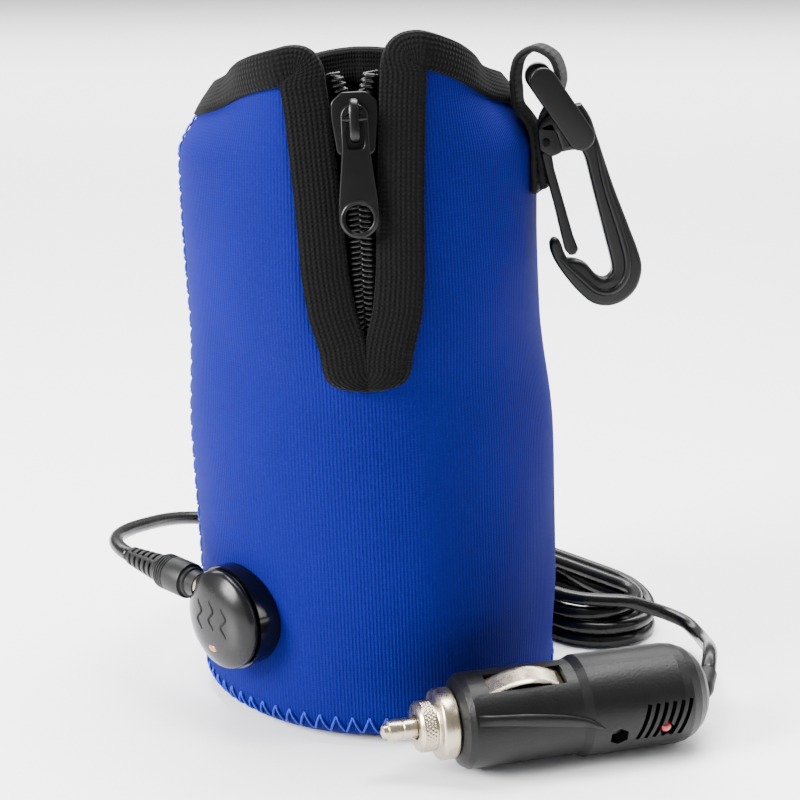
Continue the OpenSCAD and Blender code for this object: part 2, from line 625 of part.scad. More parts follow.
module car_plug_board() color("darkgreen") car_frame() difference() {
    translate([-6, -0.5, 46]) cube([12, 1, 20]);
    translate([0, 0, screw_z]) rotate([90, 0, 0]) cylinder(r = 3.8, h = 6, center = true);
}
module car_plug_led() color("red") car_frame() translate(led_place - [0, 0.6, 0]) rotate([90, 0, 0]) {
    cylinder(r = 1.5, h = handle_r - 1.9, $fn = 32);
    translate([0, 0, handle_r - 1.9]) sphere(r = 1.5, $fn = 32);
}
module car_plug_screw() color("dimgray") car_frame() translate([0, 7.5, screw_z]) rotate([90, 0, 0]) {
    cylinder(r = 1.7, h = 15, $fn = 32);
    translate([0, 0, 14.6]) cylinder(r = 1.95, h = 1.3, $fn = 32);
}
// Strain relief: a flange on the rear, and a sleeve that leans back and up with the cord
boot_root = car_plug_len + 0.5;
boot_r = 2.6;
module cable_boot() color("#181818") {
    car_frame() translate([0, 0, car_plug_len - 5.9]) cylinder(r = boot_r, h = 6.4, $fn = 48);
    car_axis() {
        translate([0, 0, car_plug_len]) cylinder(r = 3.2, h = 0.9, $fn = 48);
        translate([0, 0, boot_root]) {
            sphere(r = boot_r, $fn = 48);
            rotate([0, -20, 0]) rotate([-50, 0, 0]) cylinder(r1 = boot_r, r2 = 2.2, h = 5.5, $fn = 48);
        }
    }
}

sleeve_wall();
sleeve_base();
inner_lining();
base_pad();
heating_element();
thermal_switch();
rim_binding();
side_seam_thread();
base_seam_thread();
lapel_left();
lapel_right();
lapel_lining_left();
lapel_lining_right();
rim_binding_left();
rim_binding_right();
slit_binding_left();
slit_binding_right();
zip_tape_left();
zip_tape_right();
zip_coil_left();
zip_coil_right();
zip_stop();
binding_point();
slider_body();
pull_tab();
webbing_loop();
hook_link();
hook_body();
hook_gate();
gate_pin();
controller_base();
controller_cover();
indicator_led();
circuit_board();
dc_jack();
jack_pin();
backing_plate();
housing_screws();
heater_leads();
dc_plug_body();
dc_plug_barrel();
dc_plug_boot();
cord_run_plug();
cord_coil();
cord_run_car();
cord_tie();
car_plug_shell_front();
car_plug_shell_back();
nose_ring();
tip_contact();
fuse();
fuse_spring();
side_contact_upper();
side_contact_lower();
car_plug_led();
car_plug_board();
car_plug_screw();
cable_boot();
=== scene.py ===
"""Looks of the travel bottle warmer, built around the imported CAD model.

Shapes are worked out in millimetres and written to the meshes in metres. Azimuths run from the zip's side
(-Y) towards the hook's side (+X).
"""

import math

import bmesh
import bpy
import numpy as np
from mathutils import Matrix, Vector


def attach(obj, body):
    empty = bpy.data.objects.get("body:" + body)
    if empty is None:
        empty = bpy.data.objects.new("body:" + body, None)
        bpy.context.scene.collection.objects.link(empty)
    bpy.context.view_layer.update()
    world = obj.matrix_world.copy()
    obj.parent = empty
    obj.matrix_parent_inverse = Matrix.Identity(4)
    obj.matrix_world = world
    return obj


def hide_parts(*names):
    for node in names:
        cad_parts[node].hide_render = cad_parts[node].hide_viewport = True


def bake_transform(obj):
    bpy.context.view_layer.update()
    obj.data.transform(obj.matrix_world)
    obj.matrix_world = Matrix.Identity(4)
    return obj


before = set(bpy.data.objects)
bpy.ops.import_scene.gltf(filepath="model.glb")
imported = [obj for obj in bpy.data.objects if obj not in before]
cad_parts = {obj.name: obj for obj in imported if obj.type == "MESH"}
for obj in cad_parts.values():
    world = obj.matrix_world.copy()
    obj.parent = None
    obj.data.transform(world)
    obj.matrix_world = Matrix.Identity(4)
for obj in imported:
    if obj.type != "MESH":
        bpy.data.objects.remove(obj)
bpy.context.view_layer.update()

MM = 0.001
SIDES = ((-1, "left"), (1, "right"))
CAMERA_AT = (0.00465, -0.3937, 0.1789)
CAMERA_DOWN = math.radians(15.6)    # the camera looks down by this angle
CAMERA_LENS = 77.2

# ---------------------------------------------------------------- camera


def add_camera():
    data = bpy.data.cameras.new("camera")
    data.lens = CAMERA_LENS
    data.sensor_width = 36
    camera = bpy.data.objects.new("camera", data)
    camera.location = CAMERA_AT
    camera.rotation_euler = (math.pi / 2 - CAMERA_DOWN, 0, 0)
    bpy.context.scene.collection.objects.link(camera)
    bpy.context.scene.camera = camera


add_camera()

# ---------------------------------------------------------------- small tools


def unit(v):
    v = np.asarray(v, float)
    return v / np.maximum(np.linalg.norm(v, axis=-1, keepdims=True), 1e-12)


def smooth(x):
    x = np.clip(x, 0, 1)
    return x * x * (3 - 2 * x)


def turn(axis, degrees):
    return np.array(Matrix.Rotation(math.radians(degrees), 3, axis))


def matrix_of(origin, rotation):
    m = np.eye(4)
    m[:3, :3] = rotation
    m[:3, 3] = origin
    return m


def placed(points, m):
    return np.asarray(points, float) @ m[:3, :3].T + m[:3, 3]


def mesh_piece(name, points, faces, uvs=None):
    """Mesh from points in millimetres; uvs, in metres, is one pair per point."""
    mesh = bpy.data.meshes.new(name)
    mesh.from_pydata((np.asarray(points, float) * MM).tolist(), [], [list(f) for f in faces])
    mesh.validate()
    if uvs is not None:
        layer = mesh.uv_layers.new(name="cloth")
        index = np.empty(len(mesh.loops), np.int32)
        mesh.loops.foreach_get("vertex_index", index)
        layer.data.foreach_set("uv", np.asarray(uvs, np.float32)[index].ravel())
    mesh.polygons.foreach_set("use_smooth", [True] * len(mesh.polygons))
    mesh.update()
    piece = bpy.data.objects.new(name, mesh)
    bpy.context.scene.collection.objects.link(piece)
    return piece


def face_outwards(piece):
    work = bmesh.new()
    work.from_mesh(piece.data)
    bmesh.ops.recalc_face_normals(work, faces=work.faces)
    work.to_mesh(piece.data)
    work.free()
    return piece


def loft(name, rings, close_ring=True, caps=True, close_path=False, uvs=None):
    """Skin over a row of rings, each with the same number of points."""
    rings = np.asarray(rings, float)
    rows, count = rings.shape[:2]
    faces = []
    for i in range(rows if close_path else rows - 1):
        j = (i + 1) % rows
        for k in range(count if close_ring else count - 1):
            m = (k + 1) % count
            faces.append((i * count + k, i * count + m, j * count + m, j * count + k))
    if caps and close_ring and not close_path:
        faces.append(tuple(range(count)))
        faces.append(tuple(range(rows * count - 1, (rows - 1) * count - 1, -1)))
    flat_uvs = None if uvs is None else np.asarray(uvs, float).reshape(-1, 2)
    return face_outwards(mesh_piece(name, rings.reshape(-1, 3), faces, flat_uvs))


def lathe(name, profile, m, steps=96):
    """Revolve [radius, height] points about the frame's z."""
    radii, heights = np.asarray(profile, float).T
    angles = 2 * np.pi * np.arange(steps) / steps
    rings = [np.stack([radii * math.cos(a), radii * math.sin(a), heights], 1) for a in angles]
    return loft(name, placed(rings, m), close_ring=False, caps=False, close_path=True)


def tube_rings(path, radius, sides=12):
    """Rings round a path, turned as little as possible from one to the next."""
    path = np.asarray(path, float)
    radius = np.broadcast_to(radius, len(path))
    along = unit(np.gradient(path, axis=0))
    side = unit(np.cross(along[0], [0.013, 0.017, 1.0]))
    rings = []
    for p, t, r in zip(path, along, radius):
        side = unit(side - t * np.dot(side, t))
        up = np.cross(t, side)
        a = 2 * np.pi * np.arange(sides) / sides
        rings.append(p + r * (np.outer(np.cos(a), side) + np.outer(np.sin(a), up)))
    return np.array(rings)


def tube(name, path, radius, sides=12):
    return loft(name, tube_rings(path, radius, sides))


def spline(points, step):
    """Smooth curve through the points, sampled about every step."""
    p = np.asarray(points, float)
    p = np.vstack([2 * p[0] - p[1], p, 2 * p[-1] - p[-2]])
    out = []
    for a, b, c, d in zip(p, p[1:], p[2:], p[3:]):
        count = max(2, int(np.linalg.norm(c - b) / step))
        t = np.arange(count)[:, None] / count
        out.append(0.5 * (2 * b + (c - a) * t + (2 * a - 5 * b + 4 * c - d) * t ** 2
                          + (3 * b - a - 3 * c + d) * t ** 3))
    return np.vstack(out + [p[-2:-1]])


def run_of(path):
    """How far along a path each of its points is."""
    return np.concatenate([[0], np.cumsum(np.linalg.norm(np.diff(path, axis=0), axis=1))])


def even(path, step):
    """The same path with points about a step apart, evenly."""
    path = np.asarray(path, float)
    run = run_of(path)
    at = np.linspace(0, run[-1], max(2, int(round(run[-1] / step)) + 1))
    return np.stack([np.interp(at, run, path[:, k]) for k in range(path.shape[1])], 1)


def slab(name, outline, thickness, edge, m, holes=(), rounds=3):
    """Flat part with rounded edges: a filled outline in the frame's x and y, with its middle at z = 0."""
    data = bpy.data.curves.new(name, "CURVE")
    data.dimensions = "2D"
    data.fill_mode = "BOTH"
    data.extrude = (thickness / 2 - edge) * MM
    data.bevel_depth = edge * MM
    data.bevel_resolution = rounds
    data.offset = -edge * MM
    for points in [outline, *holes]:
        line = data.splines.new("POLY")
        line.points.add(len(points) - 1)
        for point, (x, y) in zip(line.points, points):
            point.co = (x * MM, y * MM, 0, 1)
        line.use_cyclic_u = True
    holder = bpy.data.objects.new(name + "_outline", data)
    bpy.context.scene.collection.objects.link(holder)
    bpy.context.view_layer.update()
    evaluated = holder.evaluated_get(bpy.context.evaluated_depsgraph_get())
    mesh = bpy.data.meshes.new_from_object(evaluated)
    bpy.data.objects.remove(holder)
    matrix = m.copy()
    matrix[:3, 3] *= MM
    mesh.transform(Matrix(matrix.tolist()))
    work = bmesh.new()
    work.from_mesh(mesh)
    bmesh.ops.remove_doubles(work, verts=work.verts, dist=0.00001)
    bmesh.ops.recalc_face_normals(work, faces=work.faces)
    work.to_mesh(mesh)
    work.free()
    piece = bpy.data.objects.new(name, mesh)
    bpy.context.scene.collection.objects.link(piece)
    shade_by_angle(piece, 35)
    return piece


def shade_by_angle(piece, degrees):
    piece.data.polygons.foreach_set("use_smooth", [True] * len(piece.data.polygons))
    piece.data.set_sharp_from_angle(angle=math.radians(degrees))


def rounded(points, radius, steps=5):
    """Closed outline with its corners cut by curves of up to that radius; nearly straight ones stay."""
    p = np.asarray(points, float)
    out = []
    for i in range(len(p)):
        a, b, c = p[i - 1], p[i], p[(i + 1) % len(p)]
        ra, rc = unit(a - b), unit(c - b)
        half = math.acos(np.clip(ra @ rc, -1, 1)) / 2
        if half > math.radians(86):
            out.append(b)
            continue
        cut = min(radius / math.tan(half), 0.45 * np.linalg.norm(a - b), 0.45 * np.linalg.norm(c - b))
        start, end = b + ra * cut, b + rc * cut
        for t in np.linspace(0, 1, steps):
            out.append((1 - t) ** 2 * start + 2 * t * (1 - t) * b + t ** 2 * end)
    return np.array(out)


def arc(cx, cy, r, start, end, steps):
    """Points of an arc, its angles in degrees."""
    a = np.radians(np.linspace(start, end, steps))
    return np.stack([cx + r * np.cos(a), cy + r * np.sin(a)], 1)


def joined(name, pieces):
    """One object from several."""
    with bpy.context.temp_override(active_object=pieces[0], selected_editable_objects=pieces,
                                   object=pieces[0]):
        bpy.ops.object.join()
    pieces[0].name = name
    pieces[0].data.name = name
    return pieces[0]


def strip_section(count, half_width, half_thickness, thinning):
    """Once round a flat section, as (across, out), thinned at its two edges."""
    across = half_width * np.concatenate([np.linspace(-1, 1, count), np.linspace(1, -1, count)])
    out = half_thickness * np.repeat([1.0, -1.0], count)
    out[[0, count - 1, count, 2 * count - 1]] *= thinning
    return across, out


# ---------------------------------------------------------------- materials


class Shader:
    """A Principled material with a few procedural layers."""

    def __init__(self, name, colour, roughness, **sockets):
        self.material = bpy.data.materials.new(name)
        self.material.use_nodes = True
        self.nodes = self.material.node_tree.nodes
        self.links = self.material.node_tree.links
        self.shader = self.nodes["Principled BSDF"]
        self.shader.inputs["Base Color"].default_value = (*colour, 1)
        self.shader.inputs["Roughness"].default_value = roughness
        for socket, value in sockets.items():
            self.shader.inputs[socket.replace("_", " ")].default_value = value
        self.colour = colour
        self.coordinates = self.nodes.new("ShaderNodeTexCoord")
        self.bump = None

    def scaled(self, source, scale):
        mapping = self.nodes.new("ShaderNodeMapping")
        mapping.inputs["Scale"].default_value = scale
        self.links.new(self.coordinates.outputs[source], mapping.inputs["Vector"])
        return mapping.outputs["Vector"]

    def noise(self, scale, source="Object", detail=4.0, stretch=(1, 1, 1)):
        node = self.nodes.new("ShaderNodeTexNoise")
        node.inputs["Scale"].default_value = scale
        node.inputs["Detail"].default_value = detail
        self.links.new(self.scaled(source, stretch), node.inputs["Vector"])
        return node.outputs["Fac"]

    def bands(self, pitch, direction, source="UV", distortion=0.0):
        """Soft stripes, a pitch apart in metres."""
        node = self.nodes.new("ShaderNodeTexWave")
        node.wave_type = "BANDS"
        node.bands_direction = direction
        node.inputs["Scale"].default_value = math.pi / 10 / pitch
        node.inputs["Distortion"].default_value = distortion
        node.inputs["Detail"].default_value = 1.0
        self.links.new(self.scaled(source, (1, 1, 1)), node.inputs["Vector"])
        return node.outputs["Fac"]

    def math(self, operation, a, b):
        node = self.nodes.new("ShaderNodeMath")
        node.operation = operation
        for socket, value in zip(node.inputs, (a, b)):
            if hasattr(value, "is_output"):
                self.links.new(value, socket)
            else:
                socket.default_value = value
        return node.outputs["Value"]

    def spread(self, factor, low, high):
        """Map a factor's 0 to 1 onto low to high."""
        node = self.nodes.new("ShaderNodeMapRange")
        node.inputs["To Min"].default_value = low
        node.inputs["To Max"].default_value = high
        self.links.new(factor, node.inputs["Value"])
        return node.outputs["Result"]

    def tint(self, factor, other):
        """Blend the base colour towards another by a factor."""
        node = self.nodes.new("ShaderNodeMix")
        node.data_type = "RGBA"
        current = self.shader.inputs["Base Color"]
        if current.is_linked:
            self.links.new(current.links[0].from_socket, node.inputs["A"])
        else:
            node.inputs["A"].default_value = (*self.colour, 1)
        node.inputs["B"].default_value = (*other, 1)
        self.links.new(factor, node.inputs["Factor"])
        self.links.new(node.outputs["Result"], current)
        return self

    def rough(self, factor, low, high):
        self.links.new(self.spread(factor, low, high), self.shader.inputs["Roughness"])
        return self

    def raise_by(self, height, distance, strength):
        """Add a bump, its distance in metres."""
        node = self.nodes.new("ShaderNodeBump")
        node.inputs["Distance"].default_value = distance
        node.inputs["Strength"].default_value = strength
        self.links.new(height, node.inputs["Height"])
        if self.bump:
            self.links.new(self.bump, node.inputs["Normal"])
        self.bump = node.outputs["Normal"]
        self.links.new(self.bump, self.shader.inputs["Normal"])
        return self


def jersey_material():
    """Blue jersey: fine upright ribs of small stitches, with a slight mottle."""
    s = Shader("sleeve_jersey", (0.002, 0.003, 0.105), 0.85, Sheen_Weight=0.01, Sheen_Roughness=0.4,
               Sheen_Tint=(0.1, 0.25, 1.0, 1), Specular_IOR_Level=0.07)
    ribs = s.bands(0.0008, "X", distortion=0.35)
    rows = s.bands(0.00062, "Y", distortion=0.5)
    stitches = s.math("MULTIPLY", ribs, s.spread(rows, 0.45, 1.0))
    fuzz = s.noise(2600, detail=2)
    s.tint(s.spread(stitches, 0.55, 0.0), (0.0012, 0.0015, 0.05))
    s.tint(s.spread(s.noise(38, detail=5), -0.15, 0.3), (0.003, 0.006, 0.18))
    s.tint(s.spread(fuzz, -0.5, 0.5), (0.006, 0.011, 0.24))
    s.rough(fuzz, 0.72, 0.92)
    s.raise_by(s.noise(70, detail=4), 0.0006, 0.25)
    s.raise_by(s.math("ADD", stitches, s.math("MULTIPLY", fuzz, 0.5)), 0.00014, 0.75)
    return s.material


def knit_material(name, pitch, stitch, depth, colour=(0.0009, 0.0009, 0.0009)):
    """Coarse black knit: columns of stitches along the band."""
    s = Shader(name, colour, 0.88, Sheen_Weight=0.02, Sheen_Roughness=0.4, Specular_IOR_Level=0.09)
    columns = s.bands(pitch, "X", distortion=0.8)
    rows = s.bands(stitch, "Y", distortion=1.2)
    weave = s.math("MULTIPLY", s.spread(columns, 0.15, 1.0), s.spread(rows, 0.25, 1.0))
    fuzz = s.noise(1900, detail=3)
    s.tint(s.spread(weave, 0.0, 0.75), tuple(3.2 * c for c in colour))
    s.tint(s.spread(fuzz, -0.6, 0.5), tuple(4.5 * c for c in colour))
    s.rough(fuzz, 0.75, 0.98)
    s.raise_by(s.noise(160, detail=3), 0.0005, 0.3)
    s.raise_by(s.math("ADD", weave, s.math("MULTIPLY", fuzz, 0.4)), depth, 0.9)
    return s.material


def lining_material():
    s = Shader("lining_cloth", (0.004, 0.004, 0.0045), 0.85, Sheen_Weight=0.02, Specular_IOR_Level=0.15)
    ribs = s.bands(0.0007, "X", distortion=0.4)
    s.tint(s.spread(s.noise(900, detail=3), -0.3, 0.5), (0.012, 0.012, 0.013))
    s.rough(s.noise(60), 0.7, 0.9)
    s.raise_by(ribs, 0.0001, 0.7)
    return s.material


def webbing_material():
    s = Shader("webbing_weave", (0.003, 0.003, 0.0032), 0.8, Sheen_Weight=0.03, Specular_IOR_Level=0.2)
    across = s.bands(0.0011, "X", distortion=0.5)
    along = s.bands(0.0013, "Y", distortion=0.9)
    weave = s.math("MULTIPLY", across, along)
    fuzz = s.noise(2300, detail=3)
    s.tint(s.spread(weave, 0.0, 0.7), (0.011, 0.011, 0.0115))
    s.tint(s.spread(fuzz, -0.5, 0.4), (0.02, 0.02, 0.02))
    s.rough(fuzz, 0.7, 0.95)
    s.raise_by(s.math("ADD", weave, s.math("MULTIPLY", fuzz, 0.3)), 0.00025, 0.9)
    return s.material


def thread_material():
    s = Shader("seam_thread", (0.0015, 0.012, 0.28), 0.65, Specular_IOR_Level=0.25)
    s.tint(s.spread(s.noise(1500, detail=3), -0.2, 0.5), (0.003, 0.025, 0.42))
    s.rough(s.noise(800), 0.4, 0.7)
    s.raise_by(s.bands(0.0003, "DIAGONAL", "Object"), 0.00005, 0.8)
    return s.material


def plastic_material(name, colour, roughness, grain=0.0, grain_scale=1800, coat=0.0,
                     wear=(0.009, 0.009, 0.0095)):
    """Moulded plastic with spark texture, faint flow marks and paler rubbed spots."""
    s = Shader(name, colour, roughness, Coat_Weight=coat, Coat_Roughness=0.12, Specular_IOR_Level=0.22)
    flow = s.noise(120, detail=5)
    s.tint(s.spread(s.noise(420, detail=6), -0.35, 0.28), wear)
    s.rough(flow, max(roughness - 0.08, 0.03), roughness + 0.1)
    s.raise_by(s.noise(260, detail=2), 0.0004, 0.05)
    if grain:
        s.raise_by(s.noise(grain_scale, detail=3), grain, 0.6)
    return s.material


def metal_material(name, colour, roughness, scratch=0.3):
    s = Shader(name, colour, roughness, Metallic=1.0)
    streaks = s.noise(700, detail=4, stretch=(1, 1, 0.12))
    s.tint(s.spread(s.noise(180, detail=5), -0.2, 0.6), tuple(0.72 * c for c in colour))
    s.rough(streaks, roughness - 0.06, roughness + 0.14)
    s.raise_by(streaks, 0.00004, scratch)
    return s.material


def lens_material(name, colour, glow):
    s = Shader(name, colour, 0.12, Coat_Weight=0.6, Emission_Color=(*colour, 1), Emission_Strength=glow,
               Subsurface_Weight=0.2, Subsurface_Radius=(0.002, 0.001, 0.001))
    s.tint(s.spread(s.noise(500), -0.3, 0.5), tuple(0.5 * c for c in colour))
    s.raise_by(s.noise(900), 0.00005, 0.2)
    return s.material


JERSEY = jersey_material()
KNIT = knit_material("binding_rib", 0.00105, 0.00095, 0.00032)
LINING = lining_material()
WEBBING = webbing_material()
THREAD = thread_material()
TAPE = knit_material("zip_tape_weave", 0.0007, 0.0008, 0.00012, (0.003, 0.003, 0.0031))
COIL = plastic_material("zip_nylon", (0.004, 0.004, 0.0042), 0.25, coat=0.15)
ENAMEL = plastic_material("slider_paint", (0.002, 0.002, 0.0021), 0.3, grain=0.00003)
ACETAL = plastic_material("hook_acetal", (0.002, 0.002, 0.0021), 0.36, grain=0.00002)
GLOSS = plastic_material("box_polish", (0.002, 0.002, 0.0022), 0.14, coat=0.4)
SATIN = plastic_material("box_satin", (0.004, 0.004, 0.0045), 0.24, grain=0.00001)
LEAD = plastic_material("plug_pvc", (0.004, 0.004, 0.0042), 0.42, grain=0.00003)
PVC = plastic_material("cord_sheath", (0.003, 0.003, 0.0032), 0.26, grain=0.00001, grain_scale=900, coat=0.1)
SHELL = plastic_material("car_plug_skin", (0.0016, 0.0016, 0.0018), 0.4, grain=0.00011, grain_scale=1600,
                         wear=(0.005, 0.005, 0.0055))
# Painted shade: the heat sign's strokes get a darker colour that stands in for the shade inside grooves; the
# higher roughness is their matte finish.
GROOVE_SHADE = plastic_material("painted_groove_shade", (0.003, 0.003, 0.003), 0.7)
NICKEL = metal_material("nickel_plate", (0.5, 0.43, 0.32), 0.24)
STEEL = metal_material("plain_steel", (0.5, 0.5, 0.5), 0.32)
AMBER = lens_material("amber_light", (0.35, 0.08, 0.008), 0.02)
RED = lens_material("red_light", (0.24, 0.001, 0.002), 0.0)
BOARD = plastic_material("solder_mask", (0.01, 0.09, 0.03), 0.35)
FILM = plastic_material("heater_film", (0.5, 0.2, 0.03), 0.3)
WHITE = plastic_material("white_case", (0.75, 0.75, 0.72), 0.5, wear=(0.6, 0.6, 0.58))
WIRE = plastic_material("wire_skin", (0.45, 0.02, 0.015), 0.35)
TUBE = plastic_material("fuse_tube", (0.75, 0.8, 0.8), 0.08, coat=0.8, wear=(0.6, 0.66, 0.66))


def finish_piece(piece, material, body=None, replaces=(), sharp=None):
    """Give a piece its material, body and replaced nodes; edges over sharp degrees stay crisp."""
    if sharp:
        shade_by_angle(piece, sharp)
    piece.data.materials.clear()
    piece.data.materials.append(material)
    if body:
        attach(piece, body)
    if replaces:
        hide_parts(*replaces)
    return piece


# ---------------------------------------------------------------- the cord

CORD_D = 3.5
ROUTE_PLUG = [
    [-59.9, -6.9, 32.2], [-62.5, -3.6, 32.3], [-64.8, 1.5, 32.3], [-65.2, 7.5, 31.9], [-63.6, 14, 31.2],
    [-60.8, 21, 30], [-57, 29.5, 28.2], [-52.8, 36.5, 26.3], [-47.6, 42.5, 24], [-41.5, 47.6, 20.6],
    [-34.6, 51.8, 16.4], [-27.4, 55.4, 12], [-20, 58, 7.8], [-12.5, 59.8, 4.4], [-5, 60, 2.3],
    [2.5, 58.4, 1.8], [9.6, 54.4, 1.8], [15, 49.6, 1.8]]
ROUTE_CAR = [
    [33.5, 30, 12.4], [39.2, 23.8, 12.4], [45, 17.8, 12.4], [50.5, 14.4, 12.4], [56.5, 13.2, 12.4],
    [62.5, 13, 12.1], [68, 13.2, 10.4], [73, 12.6, 8.8], [77, 9.8, 7.8], [79, 4.6, 7.2],
    [79.5, -1.2, 7.8], [79.2, -7, 9.3], [78.6, -12.6, 11.2], [77.9, -18, 12.9], [77.1, -23.2, 13.9],
    [76.2, -27.6, 13.7], [75.3, -31.2, 12.6]]
HANK_LEFT = np.array([29.3, 55.8])
HANK_RIGHT = np.array([56.0, 26.0])
OUTER_TURN = 14.0
INNER_TURN = 10.5
LAYERS = [1.75, 5.25, 8.75]
HANK_STEPS = [(0.85, INNER_TURN, LAYERS[0]), (1.70, INNER_TURN, LAYERS[1]), (2.55, OUTER_TURN, LAYERS[1]),
              (3.40, OUTER_TURN, LAYERS[2]), (4.25, INNER_TURN, LAYERS[2]), (4.85, INNER_TURN, 12.3),
              (5.0, OUTER_TURN, 12.4)]
STEP_LENGTH = 0.14                  # part of a turn that each step takes


def hank_point(phase, radius, height):
    """Point on a turn; a whole phase goes once round: near side, right end, far side, left end."""
    along = unit(HANK_RIGHT - HANK_LEFT)
    near = np.array([along[1], -along[0]])
    part = phase % 1 * 4
    side, t = int(part), part % 1
    if side == 0:
        flat = HANK_LEFT + (HANK_RIGHT - HANK_LEFT) * t + near * radius
    elif side == 1:
        flat = HANK_RIGHT + radius * (near * math.cos(math.pi * t) + along * math.sin(math.pi * t))
    elif side == 2:
        flat = HANK_RIGHT + (HANK_LEFT - HANK_RIGHT) * t - near * radius
    else:
        flat = HANK_LEFT - radius * (near * math.cos(math.pi * t) + along * math.sin(math.pi * t))
    return [*flat, height]


def hank_path():
    """Turns of the hank in three layers, wide and narrow, with the steps from one to the next."""
    points = []
    for phase in np.arange(0.02, 5.12, 1 / 40):
        radius, height = OUTER_TURN, LAYERS[0]
        for start, next_radius, next_height in HANK_STEPS:
            share = float(smooth((phase - start) / STEP_LENGTH))
            radius += (next_radius - radius) * share
            height += (next_height - height) * share
        points.append(hank_point(phase, radius, height))
    return points


def build_cord():
    rough = spline(ROUTE_PLUG + hank_path() + ROUTE_CAR, 0.25)
    path = even(rough, 1.25)
    length = float(np.linalg.norm(np.diff(path, axis=0), axis=1).sum()) * MM
    cord = tube("cord", path, CORD_D / 2, 18)
    finish_piece(cord, PVC, replaces=["cord_run_plug", "cord_coil", "cord_run_car"])
    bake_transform(cord)
    return cord, path, length


cord, cord_path, cord_length = build_cord()

# ---------------------------------------------------------------- the sleeve's surface

LEAN = math.radians(2)
SLEEVE_R = 42.5
UPPER_R = 41.0
NECK_DROP = 9.8                     # how far the neck comes in above the shoulder
SHOULDER_Z = 129.0
SHOULDER_H = 19.0
ARCH_R = 58.0
ARCH_Z = 99.6
ARCH_TILT = math.radians(6.5)
ARCH_FRONT = -34.0
WALL_T = 3.0
LINING_T = 0.8
HEEL_R = 7.0                        # rounding of the sleeve's lower edge
ZIP_BOTTOM = np.array([-2.1, -41.0, 84.2])
ZIP_TURN = turn("Y", -2.7) @ turn("X", -6)
ZIP_LEN = 66.0
SKIN_Y = -1.7                       # where the cloth's face lies in the zip's frame
BAND_W = 8.0                        # width of the binding along the slit
RIM_BAND_W = 6.8                    # width of the binding along the rim
COIL_HALF = 2.8                     # the binding stays this far out from the lip above the zip's coil
LIPS = np.array([[-1, 0.12], [5.3, 0.3], [8, 0.8], [16, 3], [23.6, 4], [40, 4.9], [59, 6.2], [66, 6.8],
                 [75, 7.4]])        # half the gap between the bindings, by how far up the slit
SIDE_SEAM = -85.0                   # azimuths where the front cloth meets the back cloth
BACK_SEAM = 95.0
FRONT_R = 42.6                      # distance of the flat front from the axis, low down
FRONT_SLOPE = 0.105                 # how much closer it comes per millimetre of height
RIM_R = 36.5                        # radius at which the rim's height is worked out


def zip_world(points):
    return placed(points, matrix_of(ZIP_BOTTOM, ZIP_TURN))


def lean_out(points):
    """From the leaning frame to the world, with the base kept flat."""
    p = np.asarray(points, float)
    x, y, z = p[..., 0], p[..., 1], p[..., 2]
    c, s = math.cos(LEAN), math.sin(LEAN)
    level = smooth((z - 2) / 16)
    return np.stack([x * c - z * s, y, z * c + x * s * level], -1)


def lean_in(p):
    """From the world to the leaning frame, above the base."""
    p = np.asarray(p, float)
    c, s = math.cos(LEAN), math.sin(LEAN)
    return np.stack([p[..., 0] * c + p[..., 2] * s, p[..., 1], p[..., 2] * c - p[..., 0] * s], -1)


def side_radius(z):
    """Radius of the cloth away from the zip, by height."""
    waist = UPPER_R + (SLEEVE_R - UPPER_R) * (1 - smooth((z - 62) / 30))
    return waist - NECK_DROP * smooth((z - SHOULDER_Z) / SHOULDER_H)


def lip_at(s):
    return np.interp(s, LIPS[:, 0], LIPS[:, 1])


def slit_s(z):
    """How far up the slit a height in the leaning frame is."""
    low = lean_in(zip_world([0, 0, 0]))[2]
    high = lean_in(zip_world([0, 0, ZIP_LEN]))[2]
    return (np.asarray(z, float) - low) * ZIP_LEN / (high - low)


def skin_radius(azimuth, z):
    """Outside radius of the cloth: round at the sides and back, flat beside the zip.

    The hook's side is a little hollow above and full below. Soft waves run round it, away from the zip.
    """
    azimuth, z = np.broadcast_arrays(np.asarray(azimuth, float), np.asarray(z, float))
    s = slit_s(z)
    opening = smooth((z - 78) / 16)
    front = FRONT_R - FRONT_SLOPE * np.maximum(z - 84, 0) * opening
    flat_half = np.degrees(np.arcsin(np.clip((lip_at(s) + BAND_W + 1) / 41, 0, 0.9))) * opening
    turned = np.minimum(np.abs(azimuth), flat_half)
    flat = front / np.cos(np.radians(turned))
    share = 1 - smooth((np.abs(azimuth) - flat_half) / 42)
    side = side_radius(z)
    side = side - 0.5 * smooth((azimuth - 40) / 40) * smooth((z - 70) / 20) * (azimuth < 180)
    hook_side = smooth((azimuth - 60) / 25) * (1 - smooth((azimuth - 110) / 25))
    low_down = smooth((z - 6) / 20) * (1 - smooth((z - 52) / 30))
    side = side + 0.9 * hook_side * low_down
    radius = side + (flat - side) * share
    soft = 0.22 * np.sin(np.radians(3 * azimuth) + z / 17) + 0.16 * np.sin(np.radians(7 * azimuth) - z / 9)
    return radius + soft * smooth(z / 20) * smooth((np.abs(azimuth) - 14) / 20)


def skin(azimuth, z, inwards=0.0):
    """Point of the cloth in the world, a distance in from its face."""
    azimuth, z = np.broadcast_arrays(np.asarray(azimuth, float), np.asarray(z, float))
    heel = np.clip(z, 0, HEEL_R)
    round_in = HEEL_R - np.sqrt(np.maximum(HEEL_R ** 2 - (HEEL_R - heel) ** 2, 0))
    r = skin_radius(azimuth, z) - round_in - inwards
    a = np.radians(azimuth)
    return lean_out(np.stack([r * np.sin(a), -r * np.cos(a), z], -1))


def skin_normal(azimuth, z):
    """Outward direction of the cloth, from points a little to each side."""
    d = 0.3
    across = skin(azimuth + d, z) - skin(azimuth - d, z)
    up = skin(azimuth, z + d) - skin(azimuth, z - d)
    return unit(np.cross(across, up))


